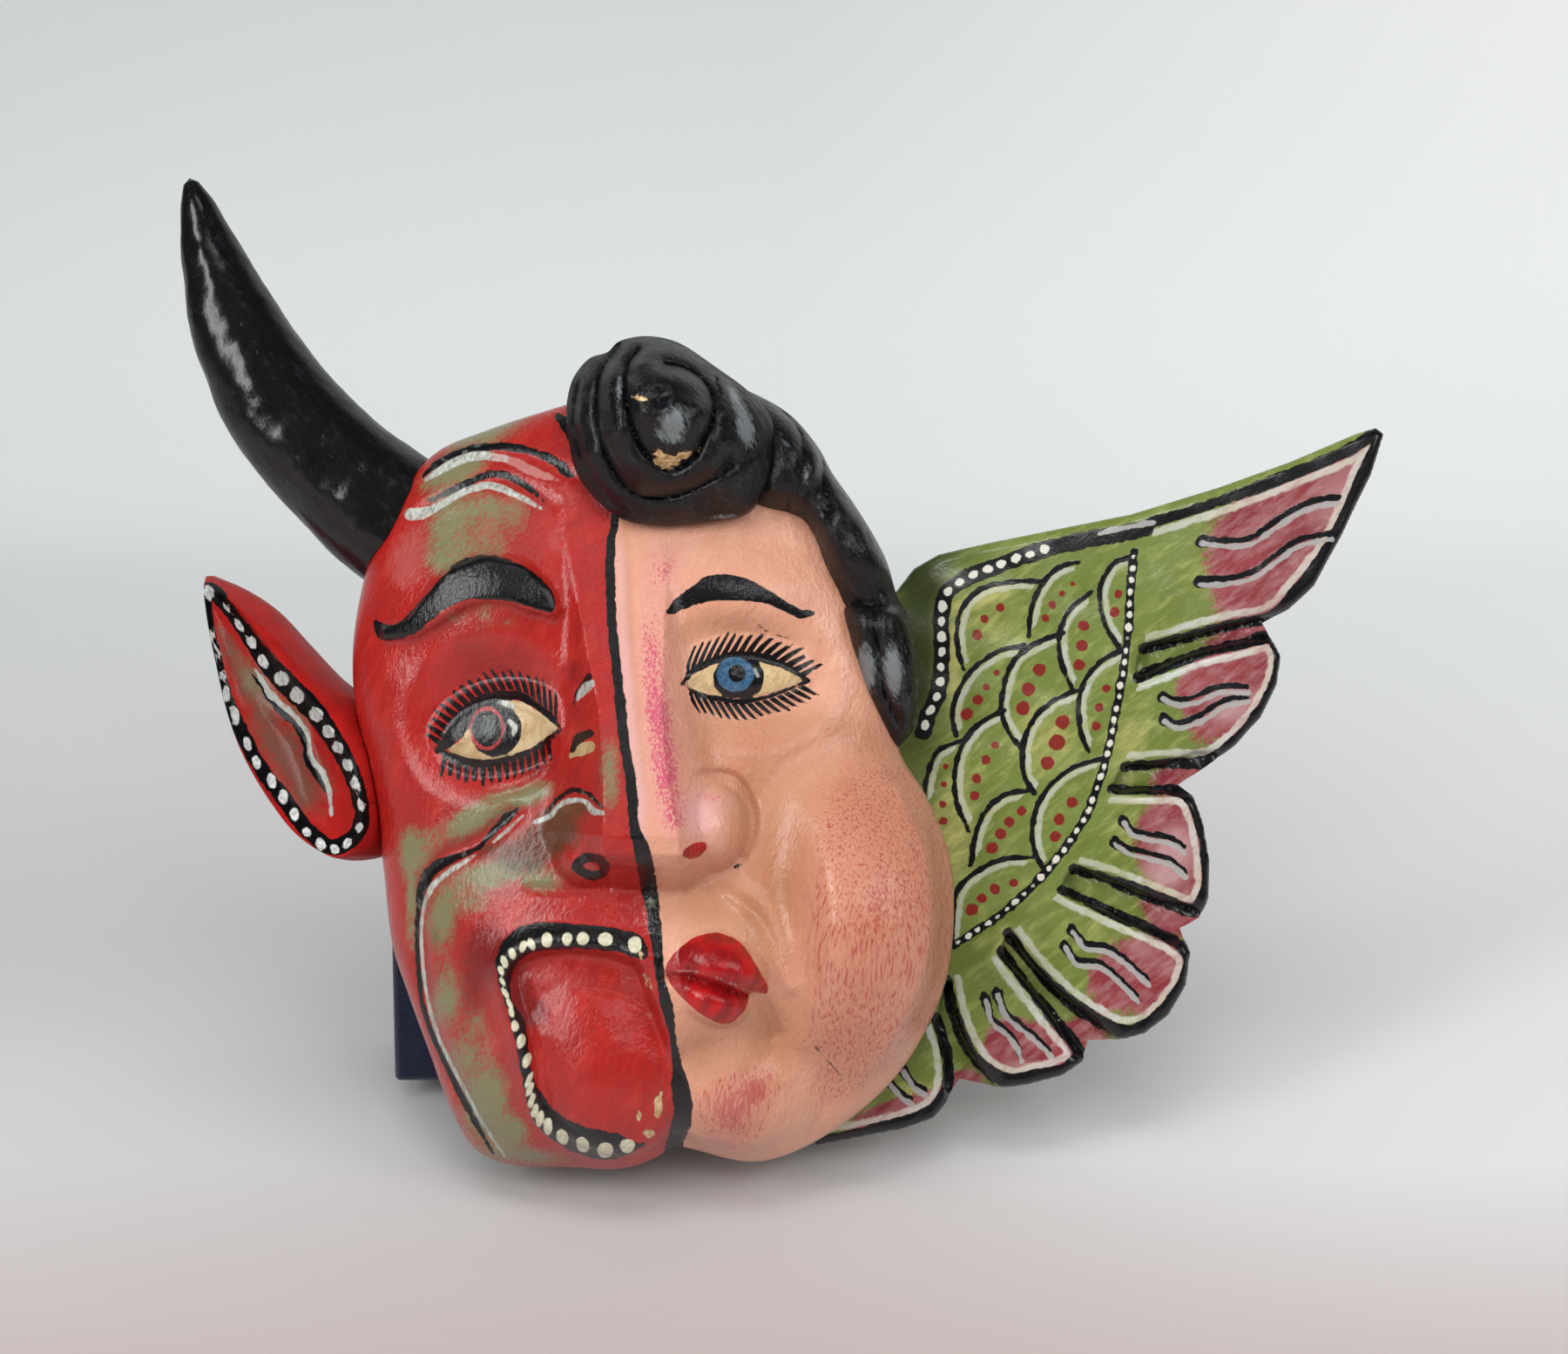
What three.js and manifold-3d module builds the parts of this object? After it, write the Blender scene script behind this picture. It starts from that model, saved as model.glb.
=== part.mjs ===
// Carved and painted wooden mask: half devil, half cherub, leaning on a cloth-covered stand.
//
// The carving is drawn in its own frame: u to the right, w up along the mask, d out from the flat
// back of the rim towards the viewer, all in millimetres. The whole mask then leans back on its
// stand, with +Z up, the face towards -Y and the floor at Z = 0.
import * as THREE from 'three';
import Module from 'manifold-3d';

const wasm = await Module();
wasm.setup();

// Driving dimensions
const LEAN = THREE.MathUtils.degToRad(17);
const CLEARANCE = 0.3;
const BEYOND = 2;
const WALL = 12;
const RIM_DEPTH = 25;
const FACE_HEIGHT = 52;
const RIM_INSET = 0.03;
const HOLLOW_DEPTH = 35;
const WING_ROOT_THICKNESS = 15;
const WING_TIP_THICKNESS = 10;
const FEATHER_GAP_FLOOR = 7.5;
const STAND_WIDTH = 153;
const STAND_DEPTH = 46;
const STAND_MIDDLE = -9;
const STAND_SETBACK = 36.5;
const STAND_CHAMFER = 9;
const STAND_TAPER = 0.03;

// The sides of the head are fullest further forward beside the cherub's puffed cheek
const CHEEK_PLACE = [86, 66];
const CHEEK_FULLNESS = 9;
const CHEEK_SPREAD = 0.45;

// How far the edges of joined shapes are rounded into each other
const TONGUE_BLEND = 6;
const CRISP_BLEND = 1;
const NOSE_BLEND = 4;
const NOSTRIL_BLEND = 2.5;
const LUMP_FALL = 40;

// Fineness of the facets
const FACE_SECTORS = 96;
const FACE_RINGS = 25;
const FACET = 1.7;
const HOLLOW_SECTORS = 36;
const HOLLOW_RINGS = 7;
const CURL_SECTORS = 34;
const CURL_RINGS = 13;
const LOCK_SIDES = 16;
const HORN_SIDES = 16;
const EAR_SECTORS = 32;

// Outline of the head where its sides are fullest, from the crown round the devil's side
const FACE_CENTRE = [-4, 100];
const FACE_OUTLINE = [
  [5, 223], [-14, 221.5], [-28, 217.5], [-48, 211], [-63, 204.5], [-74.5, 191.5], [-80.5, 179],
  [-84.5, 165], [-87, 148.5], [-86.5, 133], [-83, 116], [-80, 100], [-78, 83], [-75.5, 62],
  [-71, 48], [-65, 31.5], [-58.5, 14.5], [-52, 3.5], [-43, -1], [-26, -2], [-8, -0.5], [2, 3.5],
  [6, 6], [14, 2.5], [29, -0.5], [42, 3], [58.5, 13.5], [70, 25], [79, 40], [84, 54], [86, 73],
  [84.5, 90], [78, 106], [71, 118], [69, 139], [64, 159], [56, 179], [40, 203], [25, 216.5],
];

// Soft swellings and hollows of the face: middle, half sizes across and along, turn, rise, and how
// softly the foot runs out
const SWELLINGS = [
  { name: 'devil eye socket', at: [-44, 127], half: [30, 25], turn: 8, rise: -10, softness: 2 },
  { name: 'devil eyeball', at: [-42.5, 125.5], half: [21, 14], turn: 10, rise: 9, softness: 1.2 },
  { name: 'devil brow bone', at: [-46, 164], half: [38, 24], turn: 8, rise: 4, softness: 2 },
  { name: 'devil muzzle', at: [-18, 45], half: [54, 62], turn: 0, rise: 8, softness: 1.6 },
  { name: 'cherub eye socket', at: [27, 139], half: [29, 22], turn: 0, rise: -8, softness: 2 },
  { name: 'cherub eyeball', at: [26, 140], half: [21, 12], turn: 0, rise: 7.5, softness: 1.2 },
  { name: 'cherub brow bone', at: [27, 165], half: [30, 14], turn: -6, rise: 2.5, softness: 2 },
  { name: 'puffed cheek', at: [62, 70], half: [42, 54], turn: 6, rise: 19, softness: 1.7 },
  { name: 'pouting muzzle', at: [17, 57], half: [27, 30], turn: 0, rise: 9, softness: 1.6 },
  { name: 'fold beside the mouth', at: [38, 72], half: [13, 38], turn: 0, rise: -6, softness: 1.6 },
  { name: 'chin', at: [25, 18], half: [24, 22], turn: 0, rise: 9, softness: 1.4 },
];

// Round lumps set into the face: half sizes, height of the middle plane and rise of the top over it.
// The tongue's top is flattened.
const TONGUE = { at: [-12, 32], half: [22, 28], turn: 22, base: 42, rise: 15, flatness: 1.1 };
const UPPER_LIP = { at: [19.5, 60.5], half: [14.5, 9.5], turn: -22, base: 52, rise: 16 };
const LOWER_LIP = { at: [17.5, 51.5], half: [11.5, 8.5], turn: -25, base: 52, rise: 14 };
const CHERUB_NOSTRIL = { at: [16.5, 98], half: [11.5, 13.5], turn: 0, base: 46, rise: 20 };
const DEVIL_NOSTRIL = { at: [-15.5, 90], half: [12, 10.5], turn: 0, base: 46, rise: 18 };

// Nose: a flat-topped ridge, as [along, height of the flat, half width] from the lip to the forehead
const NOSE_MIDLINE = [[-10, 182], [-0.5, 92]];
const NOSE_SIDE_SLOPE = 1.35;
const NOSE_PROFILE = [
  [60, 24, 9], [79, 53, 9], [89, 71, 9.5], [92, 74.5, 10], [97, 75.5, 10], [112, 70.5, 8.5],
  [130, 63, 8.5], [150, 56.5, 11], [168, 51, 13], [190, 42, 14], [230, 0, 14],
];

// Devil's eyebrow: a raised, swelling stroke, as [across, along, half width]
const DEVIL_BROW_RISE = 3.2;
const DEVIL_BROW = [
  [-74, 152, 2.2], [-66, 153.5, 3], [-60, 158.5, 4.5], [-53, 164.5, 6], [-45, 167, 6.5],
  [-37, 165.5, 6], [-30, 161, 4.5], [-27, 158.5, 2.5],
];

// Devil's mouth: the toothed lip runs from the midline round the open mouth and back to it
const LIP_RISE = 2.5;
const LIP_HALF_WIDTH = 3.6;
const MOUTH_SINK = 5;
const DEVIL_LIP = [
  [-1, 63.5], [-12, 66.5], [-22, 67.3], [-30, 66.5], [-36, 64.5], [-40, 61], [-41, 57], [-40, 51.5],
  [-37, 42], [-34.5, 33], [-33.5, 25.5], [-31.5, 19.5], [-28.5, 15], [-23, 11.3], [-17, 9.4],
  [-11, 8.2], [-5.5, 9.5],
];
const MOUTH_MIDLINE = [[4, 13], [8, 28], [6.5, 42], [2.5, 56]];

// Fold that runs from the devil's nose round the mouth to the chin
const FOLD_DEPTH = 2.5;
const FOLD_HALF_WIDTH = 2.8;
const DEVIL_FOLD = [
  [-38, 101.5], [-48.5, 93], [-56, 90], [-62, 85], [-65, 79], [-65.8, 66], [-65, 54], [-62, 40],
  [-56, 26], [-51, 16], [-46, 7],
];

// Front curl of the hair: a snail that faces the viewer, coiled about its core
const CURL_CORE = [4, 213];
const CURL_HEIGHT = 78;
const CURL_EDGE_HEIGHT = 51;
const CURL_BACK = 6;
const CURL_TURNS = 2.6;
const CURL_GROOVE = 4.5;
const CURL_OUTLINE = [
  [-11.4, 229.8], [-8.5, 232.6], [-1, 234.2], [8, 232.4], [18, 226], [28, 218.5], [34, 211],
  [34.5, 203], [32.5, 193], [27.5, 185.5], [17.5, 183], [2, 181.7], [-8.5, 184], [-19, 194],
  [-22.4, 205.5], [-22.8, 216], [-20.5, 223.5], [-16.5, 228],
];

// Hair beside the head, from the front curl down to the ear. Each place has the hairline, the outer
// edge, the height of the front and the depth of the groove that parts the two lower lobes.
const HAIR_BACK = 3;
const HAIR_SQUARENESS = 3;
const SIDE_HAIR = [
  { inner: [14, 192], outer: [17, 225], front: 45, groove: 0 },
  { inner: [25, 186], outer: [29, 221], front: 47, groove: 0 },
  { inner: [33, 185.5], outer: [40, 214], front: 51, groove: 0 },
  { inner: [38.5, 185], outer: [47.5, 205], front: 51, groove: 0 },
  { inner: [42.5, 183], outer: [51.5, 198], front: 46, groove: 0 },
  { inner: [45.5, 179.5], outer: [58, 188.5], front: 49, groove: 0 },
  { inner: [48.5, 170.5], outer: [66.5, 174], front: 48, groove: 0 },
  { inner: [51, 162.5], outer: [70.3, 162.5], front: 43, groove: 0 },
  { inner: [53, 156.5], outer: [73.5, 157], front: 46.5, groove: 3 },
  { inner: [56.5, 144], outer: [76, 145], front: 46, groove: 5 },
  { inner: [60, 133.5], outer: [76.5, 132], front: 42, groove: 4 },
  { inner: [65, 124.5], outer: [74.8, 124], front: 36, groove: 0 },
  { inner: [68, 119.5], outer: [71.5, 119.5], front: 30, groove: 0 },
];

// Horn: middle line from the root inside the head to the tip, as [across, along, out, radius]
const HORN = [
  [-61.3, 174.5, 18, 19.3], [-71.6, 182.1, 18, 19.9], [-82.2, 190.7, 18.5, 19.3],
  [-92.3, 199.8, 19, 18.2], [-101.7, 209.3, 20, 17.5], [-110.6, 220.9, 21, 16.4],
  [-117.4, 232.9, 22, 14.7], [-122.7, 244.8, 23, 12.8], [-126.5, 256.7, 24, 10.1],
  [-129.8, 267.6, 25, 7.2], [-132, 275.9, 26, 4.8], [-133.6, 281.8, 26.5, 2.2],
];
const HORN_FLATNESS = 0.85;

// Ear: a leaf with a hollow face that looks out to the left
const EAR_CENTRE = [-102, 120];
const EAR_SLOPE = 0.42;
const EAR_RIM_DEPTH = 28;
const EAR_BACK = 5;
const EAR_BOWL = 9;
const EAR_OUTLINE = [
  [-134, 169.5], [-128, 168], [-120.5, 164.5], [-112.5, 159], [-103, 149], [-94, 139.5],
  [-84, 131], [-76, 118], [-74, 100], [-77, 88.5], [-82.5, 86], [-89, 85.5], [-97.5, 88.5],
  [-105, 93.5], [-111.5, 100.5], [-118, 109.5], [-123, 118.5], [-127, 129.5], [-130.5, 144],
  [-133, 156],
];
const EAR_RIM = [
  [-131.5, 166], [-127, 163.5], [-120, 158], [-114, 151], [-107, 142.5], [-100, 134],
  [-93, 126], [-88, 118], [-84.8, 108], [-83, 98], [-85, 91.5], [-90, 88.5], [-97, 91],
  [-104, 96], [-110, 103], [-116, 111.5], [-121, 120.5], [-125, 131], [-128.5, 145], [-131, 156],
];

// Wing: its outline from the shoulder along the top to the tip, then back round the feather ends
const WING_BEVEL = 2;
const WING_SPAN = [80, 215];
const WING_OUTLINE = [
  [50, 150], [71, 165], [76, 171.5], [83, 175.5], [98, 179], [140, 187.5], [166, 195.5], [187, 203],
  [207, 211.5], [213, 213.3], [215.3, 211.5], [211.5, 199.5], [203, 182], [194.5, 166.5],
  [187, 159.5], [179.5, 155.5], [182, 151], [184.6, 145.5], [183.3, 137], [178.5, 127.5],
  [171, 119.3], [163, 113], [154.5, 107.5], [158.5, 104.5], [161.5, 96], [163.3, 85], [163, 74],
  [160.8, 68], [155, 65], [157.6, 58], [156.3, 48.5], [151, 39.5], [144, 34.3], [135.5, 32],
  [127.8, 31.8], [126, 26.3], [119.5, 22], [109, 19.3], [99, 18.3], [89.5, 20.3], [86.5, 15.5],
  [81.5, 9.8], [72.5, 6.6], [60, 4.2], [47, 1.8], [42, 12], [50, 60],
];
const FEATHER_GAPS = [
  [[143.5, 147.7], [155, 151], [170, 155], [188, 158], [188, 152.6], [170, 149], [155, 144.7],
    [142, 139.8]],
  [[138.3, 113.2], [150, 114.2], [160, 117.5], [168, 116], [163, 105], [157, 104.5], [145, 106],
    [135, 106.5]],
  [[123, 82.8], [134, 79.5], [148, 74], [159, 71.5], [168, 66], [152, 61], [134, 69.5], [120, 76.6]],
  [[103.7, 63.7], [111, 54.7], [120, 45.5], [129.5, 38.5], [137, 30], [125, 27], [117.5, 38],
    [109.5, 48.3], [102, 58.3]],
  [[86.2, 50], [88, 40], [92.5, 29], [100, 18], [86.5, 14], [84.5, 28], [82.6, 37.2]],
];

// Small helpers
function lerp(a, b, t) {
  return a + (b - a) * t;
}

// Eased step from 0 at a to 1 at b
function ease(a, b, x) {
  const t = THREE.MathUtils.clamp((x - a) / (b - a), 0, 1);
  return t * t * (3 - 2 * t);
}

// Share of the way from the middle of an ellipse to its edge, squared
function ellipseShare(u, w, { at, half, turn }) {
  const angle = THREE.MathUtils.degToRad(turn);
  const across = (u - at[0]) * Math.cos(angle) + (w - at[1]) * Math.sin(angle);
  const along = (w - at[1]) * Math.cos(angle) - (u - at[0]) * Math.sin(angle);
  return (across / half[0]) ** 2 + (along / half[1]) ** 2;
}

// Height that a soft swelling or hollow adds
function swelling(u, w, shape) {
  return shape.rise * Math.max(0, 1 - ellipseShare(u, w, shape)) ** shape.softness;
}

// Height of a round lump, which drops away steeply outside its own edge
function lump(u, w, shape) {
  const share = ellipseShare(u, w, shape);
  const outside = LUMP_FALL * (Math.sqrt(Math.max(1, share)) - 1);
  const dome = Math.sqrt(Math.max(0, 1 - share ** (shape.flatness ?? 1)));
  return shape.base + shape.rise * dome - outside;
}

// The higher of two surfaces, rounded where they meet
function joined(a, b, rounding) {
  const share = THREE.MathUtils.clamp(0.5 + (0.5 * (a - b)) / rounding, 0, 1);
  return lerp(b, a, share) + rounding * share * (1 - share);
}

// Values of a profile's row at a given place along it
function profileAt(rows, along) {
  const next = THREE.MathUtils.clamp(rows.findIndex((row) => row[0] >= along), 1, rows.length - 1);
  const [a, b] = [rows[next - 1], rows[next]];
  const t = THREE.MathUtils.clamp((along - a[0]) / (b[0] - a[0]), 0, 1);
  return a.map((value, i) => lerp(value, b[i], t));
}

// Distance to a stroke of straight pieces, with its third value interpolated at the nearest point
function nearStroke(u, w, stroke) {
  let best = { distance: Infinity, value: 0 };
  for (let i = 1; i < stroke.length; i++) {
    const [au, aw, av = 0] = stroke[i - 1];
    const [bu, bw, bv = 0] = stroke[i];
    const length2 = (bu - au) ** 2 + (bw - aw) ** 2;
    const t = THREE.MathUtils.clamp(((u - au) * (bu - au) + (w - aw) * (bw - aw)) / length2, 0, 1);
    const distance = Math.hypot(u - lerp(au, bu, t), w - lerp(aw, bw, t));
    if (distance < best.distance) best = { distance, value: lerp(av, bv, t) };
  }
  return best;
}

// Distance to a closed outline, positive inside it
function insideDistance(u, w, outline) {
  let inside = false;
  for (let i = 0, j = outline.length - 1; i < outline.length; j = i++) {
    const [au, aw] = outline[i];
    const [bu, bw] = outline[j];
    if ((aw > w) !== (bw > w) && u < ((bu - au) * (w - aw)) / (bw - aw) + au) inside = !inside;
  }
  const { distance } = nearStroke(u, w, [...outline, outline[0]]);
  return inside ? distance : -distance;
}

// Radius of a rounded outline about its centre, as a function of the angle
function polarOutline(points, [cu, cw]) {
  const corners = points.map(([u, w]) => new THREE.Vector3(u, w, 0));
  const curve = new THREE.CatmullRomCurve3(corners, true, 'centripetal');
  const samples = curve.getPoints(points.length * 12).map((p) => ({
    angle: Math.atan2(p.y - cw, p.x - cu),
    radius: Math.hypot(p.x - cu, p.y - cw),
  }));
  samples.sort((a, b) => a.angle - b.angle);
  const last = samples[samples.length - 1];
  const ring = [{ angle: last.angle - 2 * Math.PI, radius: last.radius }, ...samples];
  ring.push({ angle: samples[0].angle + 2 * Math.PI, radius: samples[0].radius });
  return (angle) => {
    const turned = Math.atan2(Math.sin(angle), Math.cos(angle));
    const next = Math.max(1, ring.findIndex((s) => s.angle >= turned));
    const [a, b] = [ring[next - 1], ring[next]];
    return lerp(a.radius, b.radius, (turned - a.angle) / (b.angle - a.angle || 1));
  };
}

// A place in the carving's frame as a point in space
function place(u, w, d) {
  return new THREE.Vector3(u, -d, w);
}

// Closed surface through rings of points, with both ends drawn to a point
function loft(first, rings, last) {
  const count = rings[0].length;
  const points = [first, ...rings.flat(), last];
  const faces = [];
  const at = (ring, i) => 1 + ring * count + (i % count);
  for (let i = 0; i < count; i++) {
    faces.push(0, at(0, i + 1), at(0, i));
    for (let r = 1; r < rings.length; r++) {
      const [a, b, c, d] = [at(r - 1, i), at(r - 1, i + 1), at(r, i + 1), at(r, i)];
      const straight = points[a].distanceTo(points[c]) < points[b].distanceTo(points[d]);
      faces.push(...(straight ? [a, b, c, a, c, d] : [a, b, d, b, c, d]));
    }
    faces.push(points.length - 1, at(rings.length - 1, i), at(rings.length - 1, i + 1));
  }
  const geometry = new THREE.BufferGeometry().setFromPoints(points);
  geometry.setIndex(faces);
  return outwards(geometry);
}

// Turns a closed surface so that its faces point out
function outwards(geometry) {
  const position = geometry.getAttribute('position');
  const index = geometry.getIndex().array;
  const [a, b, c] = [new THREE.Vector3(), new THREE.Vector3(), new THREE.Vector3()];
  let volume = 0;
  for (let i = 0; i < index.length; i += 3) {
    a.fromBufferAttribute(position, index[i]);
    b.fromBufferAttribute(position, index[i + 1]);
    c.fromBufferAttribute(position, index[i + 2]);
    volume += a.dot(b.cross(c));
  }
  if (volume < 0) {
    for (let i = 0; i < index.length; i += 3) {
      [index[i], index[i + 1]] = [index[i + 1], index[i]];
    }
  }
  return geometry;
}

// Welded copy of a geometry with positions only
function welded(geometry) {
  const position = geometry.getAttribute('position');
  const order = geometry.getIndex() ? [...geometry.getIndex().array] : [...Array(position.count).keys()];
  const seen = new Map();
  const points = [];
  const index = order.map((i) => {
    const point = new THREE.Vector3().fromBufferAttribute(position, i);
    const key = point.toArray().map((value) => value.toFixed(4)).join();
    if (!seen.has(key)) {
      seen.set(key, points.length);
      points.push(point);
    }
    return seen.get(key);
  });
  const faces = [];
  for (let i = 0; i < index.length; i += 3) {
    const [a, b, c] = index.slice(i, i + 3);
    if (a !== b && b !== c && c !== a) faces.push(a, b, c);
  }
  const merged = new THREE.BufferGeometry().setFromPoints(points);
  merged.setIndex(faces);
  return merged;
}

function solid(geometry) {
  const merged = welded(geometry);
  return new wasm.Manifold(new wasm.Mesh({
    numProp: 3,
    vertProperties: new Float32Array(merged.getAttribute('position').array),
    triVerts: new Uint32Array(merged.getIndex().array),
  }));
}

function surface(manifold) {
  const mesh = manifold.getMesh();
  const geometry = new THREE.BufferGeometry();
  geometry.setAttribute('position', new THREE.BufferAttribute(new Float32Array(mesh.vertProperties), 3));
  geometry.setIndex(new THREE.BufferAttribute(new Uint32Array(mesh.triVerts), 1));
  geometry.computeVertexNormals();
  return geometry;
}

// A prism of an outline drawn in u and w, between two heights
function prism(points, low, high, bevel = 0) {
  const shape = new THREE.Shape(points.map(([u, w]) => new THREE.Vector2(u, w)));
  const geometry = new THREE.ExtrudeGeometry(shape, {
    depth: high - low - 2 * bevel,
    bevelEnabled: bevel > 0,
    bevelThickness: bevel,
    bevelSize: bevel,
    bevelOffset: -bevel,
    bevelSegments: 1,
  });
  geometry.translate(0, 0, low + bevel);
  geometry.rotateX(Math.PI / 2);
  return geometry;
}

// Height of the bare head, before any feature: a deep cushion that turns down to its sides
function headHeight(share, edgeHeight) {
  return edgeHeight + (FACE_HEIGHT - edgeHeight) * Math.sqrt(Math.max(0, 1 - share ** 2.6));
}

// Height at which the side is fullest, at an angle about the middle of the face
function fullestHeight(angle) {
  const cheekAngle = Math.atan2(CHEEK_PLACE[1] - FACE_CENTRE[1], CHEEK_PLACE[0] - FACE_CENTRE[0]);
  const turned = Math.atan2(Math.sin(angle - cheekAngle), Math.cos(angle - cheekAngle));
  return RIM_DEPTH + CHEEK_FULLNESS * Math.exp(-((turned / CHEEK_SPREAD) ** 2));
}

function noseHeight(u, w) {
  const [root, tip] = NOSE_MIDLINE;
  const middle = lerp(root[0], tip[0], (root[1] - w) / (root[1] - tip[1]));
  const [, flat, half] = profileAt(NOSE_PROFILE, w);
  return flat - NOSE_SIDE_SLOPE * Math.max(0, Math.abs(u - middle) - half);
}

// Low relief on the two halves of the face, added to the bare head
function lowRelief(u, w) {
  const soft = SWELLINGS.reduce((sum, shape) => sum + swelling(u, w, shape), 0);
  const brow = nearStroke(u, w, DEVIL_BROW);
  const fold = nearStroke(u, w, DEVIL_FOLD).distance;
  const browRise = DEVIL_BROW_RISE * (1 - ease(brow.value - 1.2, brow.value + 1.2, brow.distance));
  return soft + browRise - FOLD_DEPTH * Math.exp(-((fold / FOLD_HALF_WIDTH) ** 2));
}

// The open mouth, the tongue, the lips and the nose, worked into what is there already
function highRelief(u, w, height) {
  const insideMouth = insideDistance(u, w, [...DEVIL_LIP, ...MOUTH_MIDLINE]);
  const lip = nearStroke(u, w, DEVIL_LIP).distance;
  const rim = LIP_RISE * Math.exp(-((lip / LIP_HALF_WIDTH) ** 2));
  let carved = height + rim - MOUTH_SINK * ease(1, 5, insideMouth);
  carved = joined(carved, lump(u, w, TONGUE), TONGUE_BLEND);
  carved = joined(carved, Math.max(lump(u, w, UPPER_LIP), lump(u, w, LOWER_LIP)), CRISP_BLEND);
  carved = joined(carved, noseHeight(u, w), NOSE_BLEND);
  carved = joined(carved, lump(u, w, CHERUB_NOSTRIL), CRISP_BLEND);
  return joined(carved, lump(u, w, DEVIL_NOSTRIL), NOSTRIL_BLEND);
}

// Height of the carved face, where share runs from 0 in the middle to 1 at the outline; the relief is
// averaged over a facet's width, so that its edges run smoothly
function faceHeight(u, w, angle, share) {
  const head = headHeight(share, fullestHeight(angle));
  if (share >= 1) return head;
  const fade = 1 - ease(0.9, 1, share);
  const near = [[0, 0], [FACET, 0], [-FACET, 0], [0, FACET], [0, -FACET]];
  const heights = near.map(([du, dw]) => {
    const low = head + lowRelief(u + du, w + dw) * fade;
    return highRelief(u + du, w + dw, low);
  });
  return heights.reduce((sum, height) => sum + height, 0) / near.length;
}

// The head as a closed solid, optionally grown all round for what fits against it
function headGeometry(grow = 0) {
  const radiusAt = polarOutline(FACE_OUTLINE, FACE_CENTRE);
  const ring = (share, heightAt) => Array.from({ length: FACE_SECTORS }, (_, i) => {
    const angle = (i / FACE_SECTORS) * 2 * Math.PI;
    const radius = (radiusAt(angle) + grow) * share;
    const u = FACE_CENTRE[0] + radius * Math.cos(angle);
    const w = FACE_CENTRE[1] + radius * Math.sin(angle);
    return place(u, w, heightAt(u, w, angle));
  });
  const rings = [];
  for (let k = 1; k <= FACE_RINGS; k++) {
    const t = k / FACE_RINGS;
    const share = t * (1.25 - 0.25 * t);
    rings.push(ring(share, (u, w, angle) => faceHeight(u, w, angle, share) + grow));
  }
  for (const t of [0.4, 0.75, 1]) {
    const share = 1 - RIM_INSET * t * t;
    rings.push(ring(share, (u, w, angle) => (fullestHeight(angle) + grow) * (1 - t) - grow * t));
  }
  const [u, w] = FACE_CENTRE;
  return loft(place(u, w, faceHeight(u, w, 0, 0) + grow), rings, place(u, w, -grow));
}

// The hollow behind the face, open at the flat back
function hollowGeometry() {
  const radiusAt = polarOutline(FACE_OUTLINE, FACE_CENTRE);
  const rings = [];
  for (let k = 1; k <= HOLLOW_RINGS + 1; k++) {
    const share = Math.min(1, k / HOLLOW_RINGS);
    const height = k > HOLLOW_RINGS ? -BEYOND : HOLLOW_DEPTH * (1 - share ** 3) ** 0.6;
    rings.push(Array.from({ length: HOLLOW_SECTORS }, (_, i) => {
      const angle = (i / HOLLOW_SECTORS) * 2 * Math.PI;
      const radius = (radiusAt(angle) * (1 - RIM_INSET) - WALL) * share;
      const u = FACE_CENTRE[0] + radius * Math.cos(angle);
      return place(u, FACE_CENTRE[1] + radius * Math.sin(angle), height);
    }));
  }
  return loft(place(...FACE_CENTRE, HOLLOW_DEPTH), rings, place(...FACE_CENTRE, -BEYOND));
}

// The snail-like front curl: a low cone wound with round coils that meet in sharp grooves
function curlGeometry() {
  const radiusAt = polarOutline(CURL_OUTLINE, CURL_CORE);
  const ring = (share, heightAt) => Array.from({ length: CURL_SECTORS }, (_, i) => {
    const angle = (i / CURL_SECTORS) * 2 * Math.PI;
    const radius = radiusAt(angle) * share;
    const u = CURL_CORE[0] + radius * Math.cos(angle);
    return place(u, CURL_CORE[1] + radius * Math.sin(angle), heightAt(angle));
  });
  const rings = [];
  for (let k = 1; k <= CURL_RINGS; k++) {
    const share = k / CURL_RINGS;
    rings.push(ring(share, (angle) => {
      const coil = Math.abs(Math.sin(Math.PI * (share * CURL_TURNS - angle / (2 * Math.PI))));
      const cone = lerp(CURL_EDGE_HEIGHT, CURL_HEIGHT, 1 - share ** 1.7);
      return cone - CURL_GROOVE * (1 - Math.sqrt(coil)) * (1 - share ** 6);
    }));
  }
  rings.push(ring(1.0, () => lerp(CURL_BACK, CURL_EDGE_HEIGHT, 0.5)));
  rings.push(ring(0.9, () => CURL_BACK));
  return loft(place(...CURL_CORE, CURL_HEIGHT - CURL_GROOVE), rings, place(...CURL_CORE, CURL_BACK));
}

function sideHairGeometry(grow = 0) {
  const squared = (value) => Math.sign(value) * Math.abs(value) ** (2 / HAIR_SQUARENESS);
  const rings = SIDE_HAIR.map(({ inner, outer, front, groove }) => {
    const middle = [(inner[0] + outer[0]) / 2, (inner[1] + outer[1]) / 2];
    const reach = Math.hypot(outer[0] - inner[0], outer[1] - inner[1]);
    const half = 0.5 + grow / reach;
    return Array.from({ length: LOCK_SIDES }, (_, j) => {
      const angle = (j / LOCK_SIDES) * 2 * Math.PI;
      const side = squared(Math.cos(angle));
      const out = squared(Math.sin(angle)) * ((front - HAIR_BACK) / 2 + grow);
      const parting = Math.sin(angle) > 0 ? groove * Math.exp(-((side / 0.3) ** 2)) : 0;
      return place(
        middle[0] + (outer[0] - inner[0]) * side * half,
        middle[1] + (outer[1] - inner[1]) * side * half,
        (front + HAIR_BACK) / 2 + out - parting,
      );
    });
  });
  const end = ({ inner, outer, front }, drop) => place(
    (inner[0] + outer[0]) / 2,
    (inner[1] + outer[1]) / 2 - drop,
    (front + HAIR_BACK) / 2,
  );
  return loft(end(SIDE_HAIR[0], 0), rings, end(SIDE_HAIR[SIDE_HAIR.length - 1], 1 + grow));
}

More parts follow.
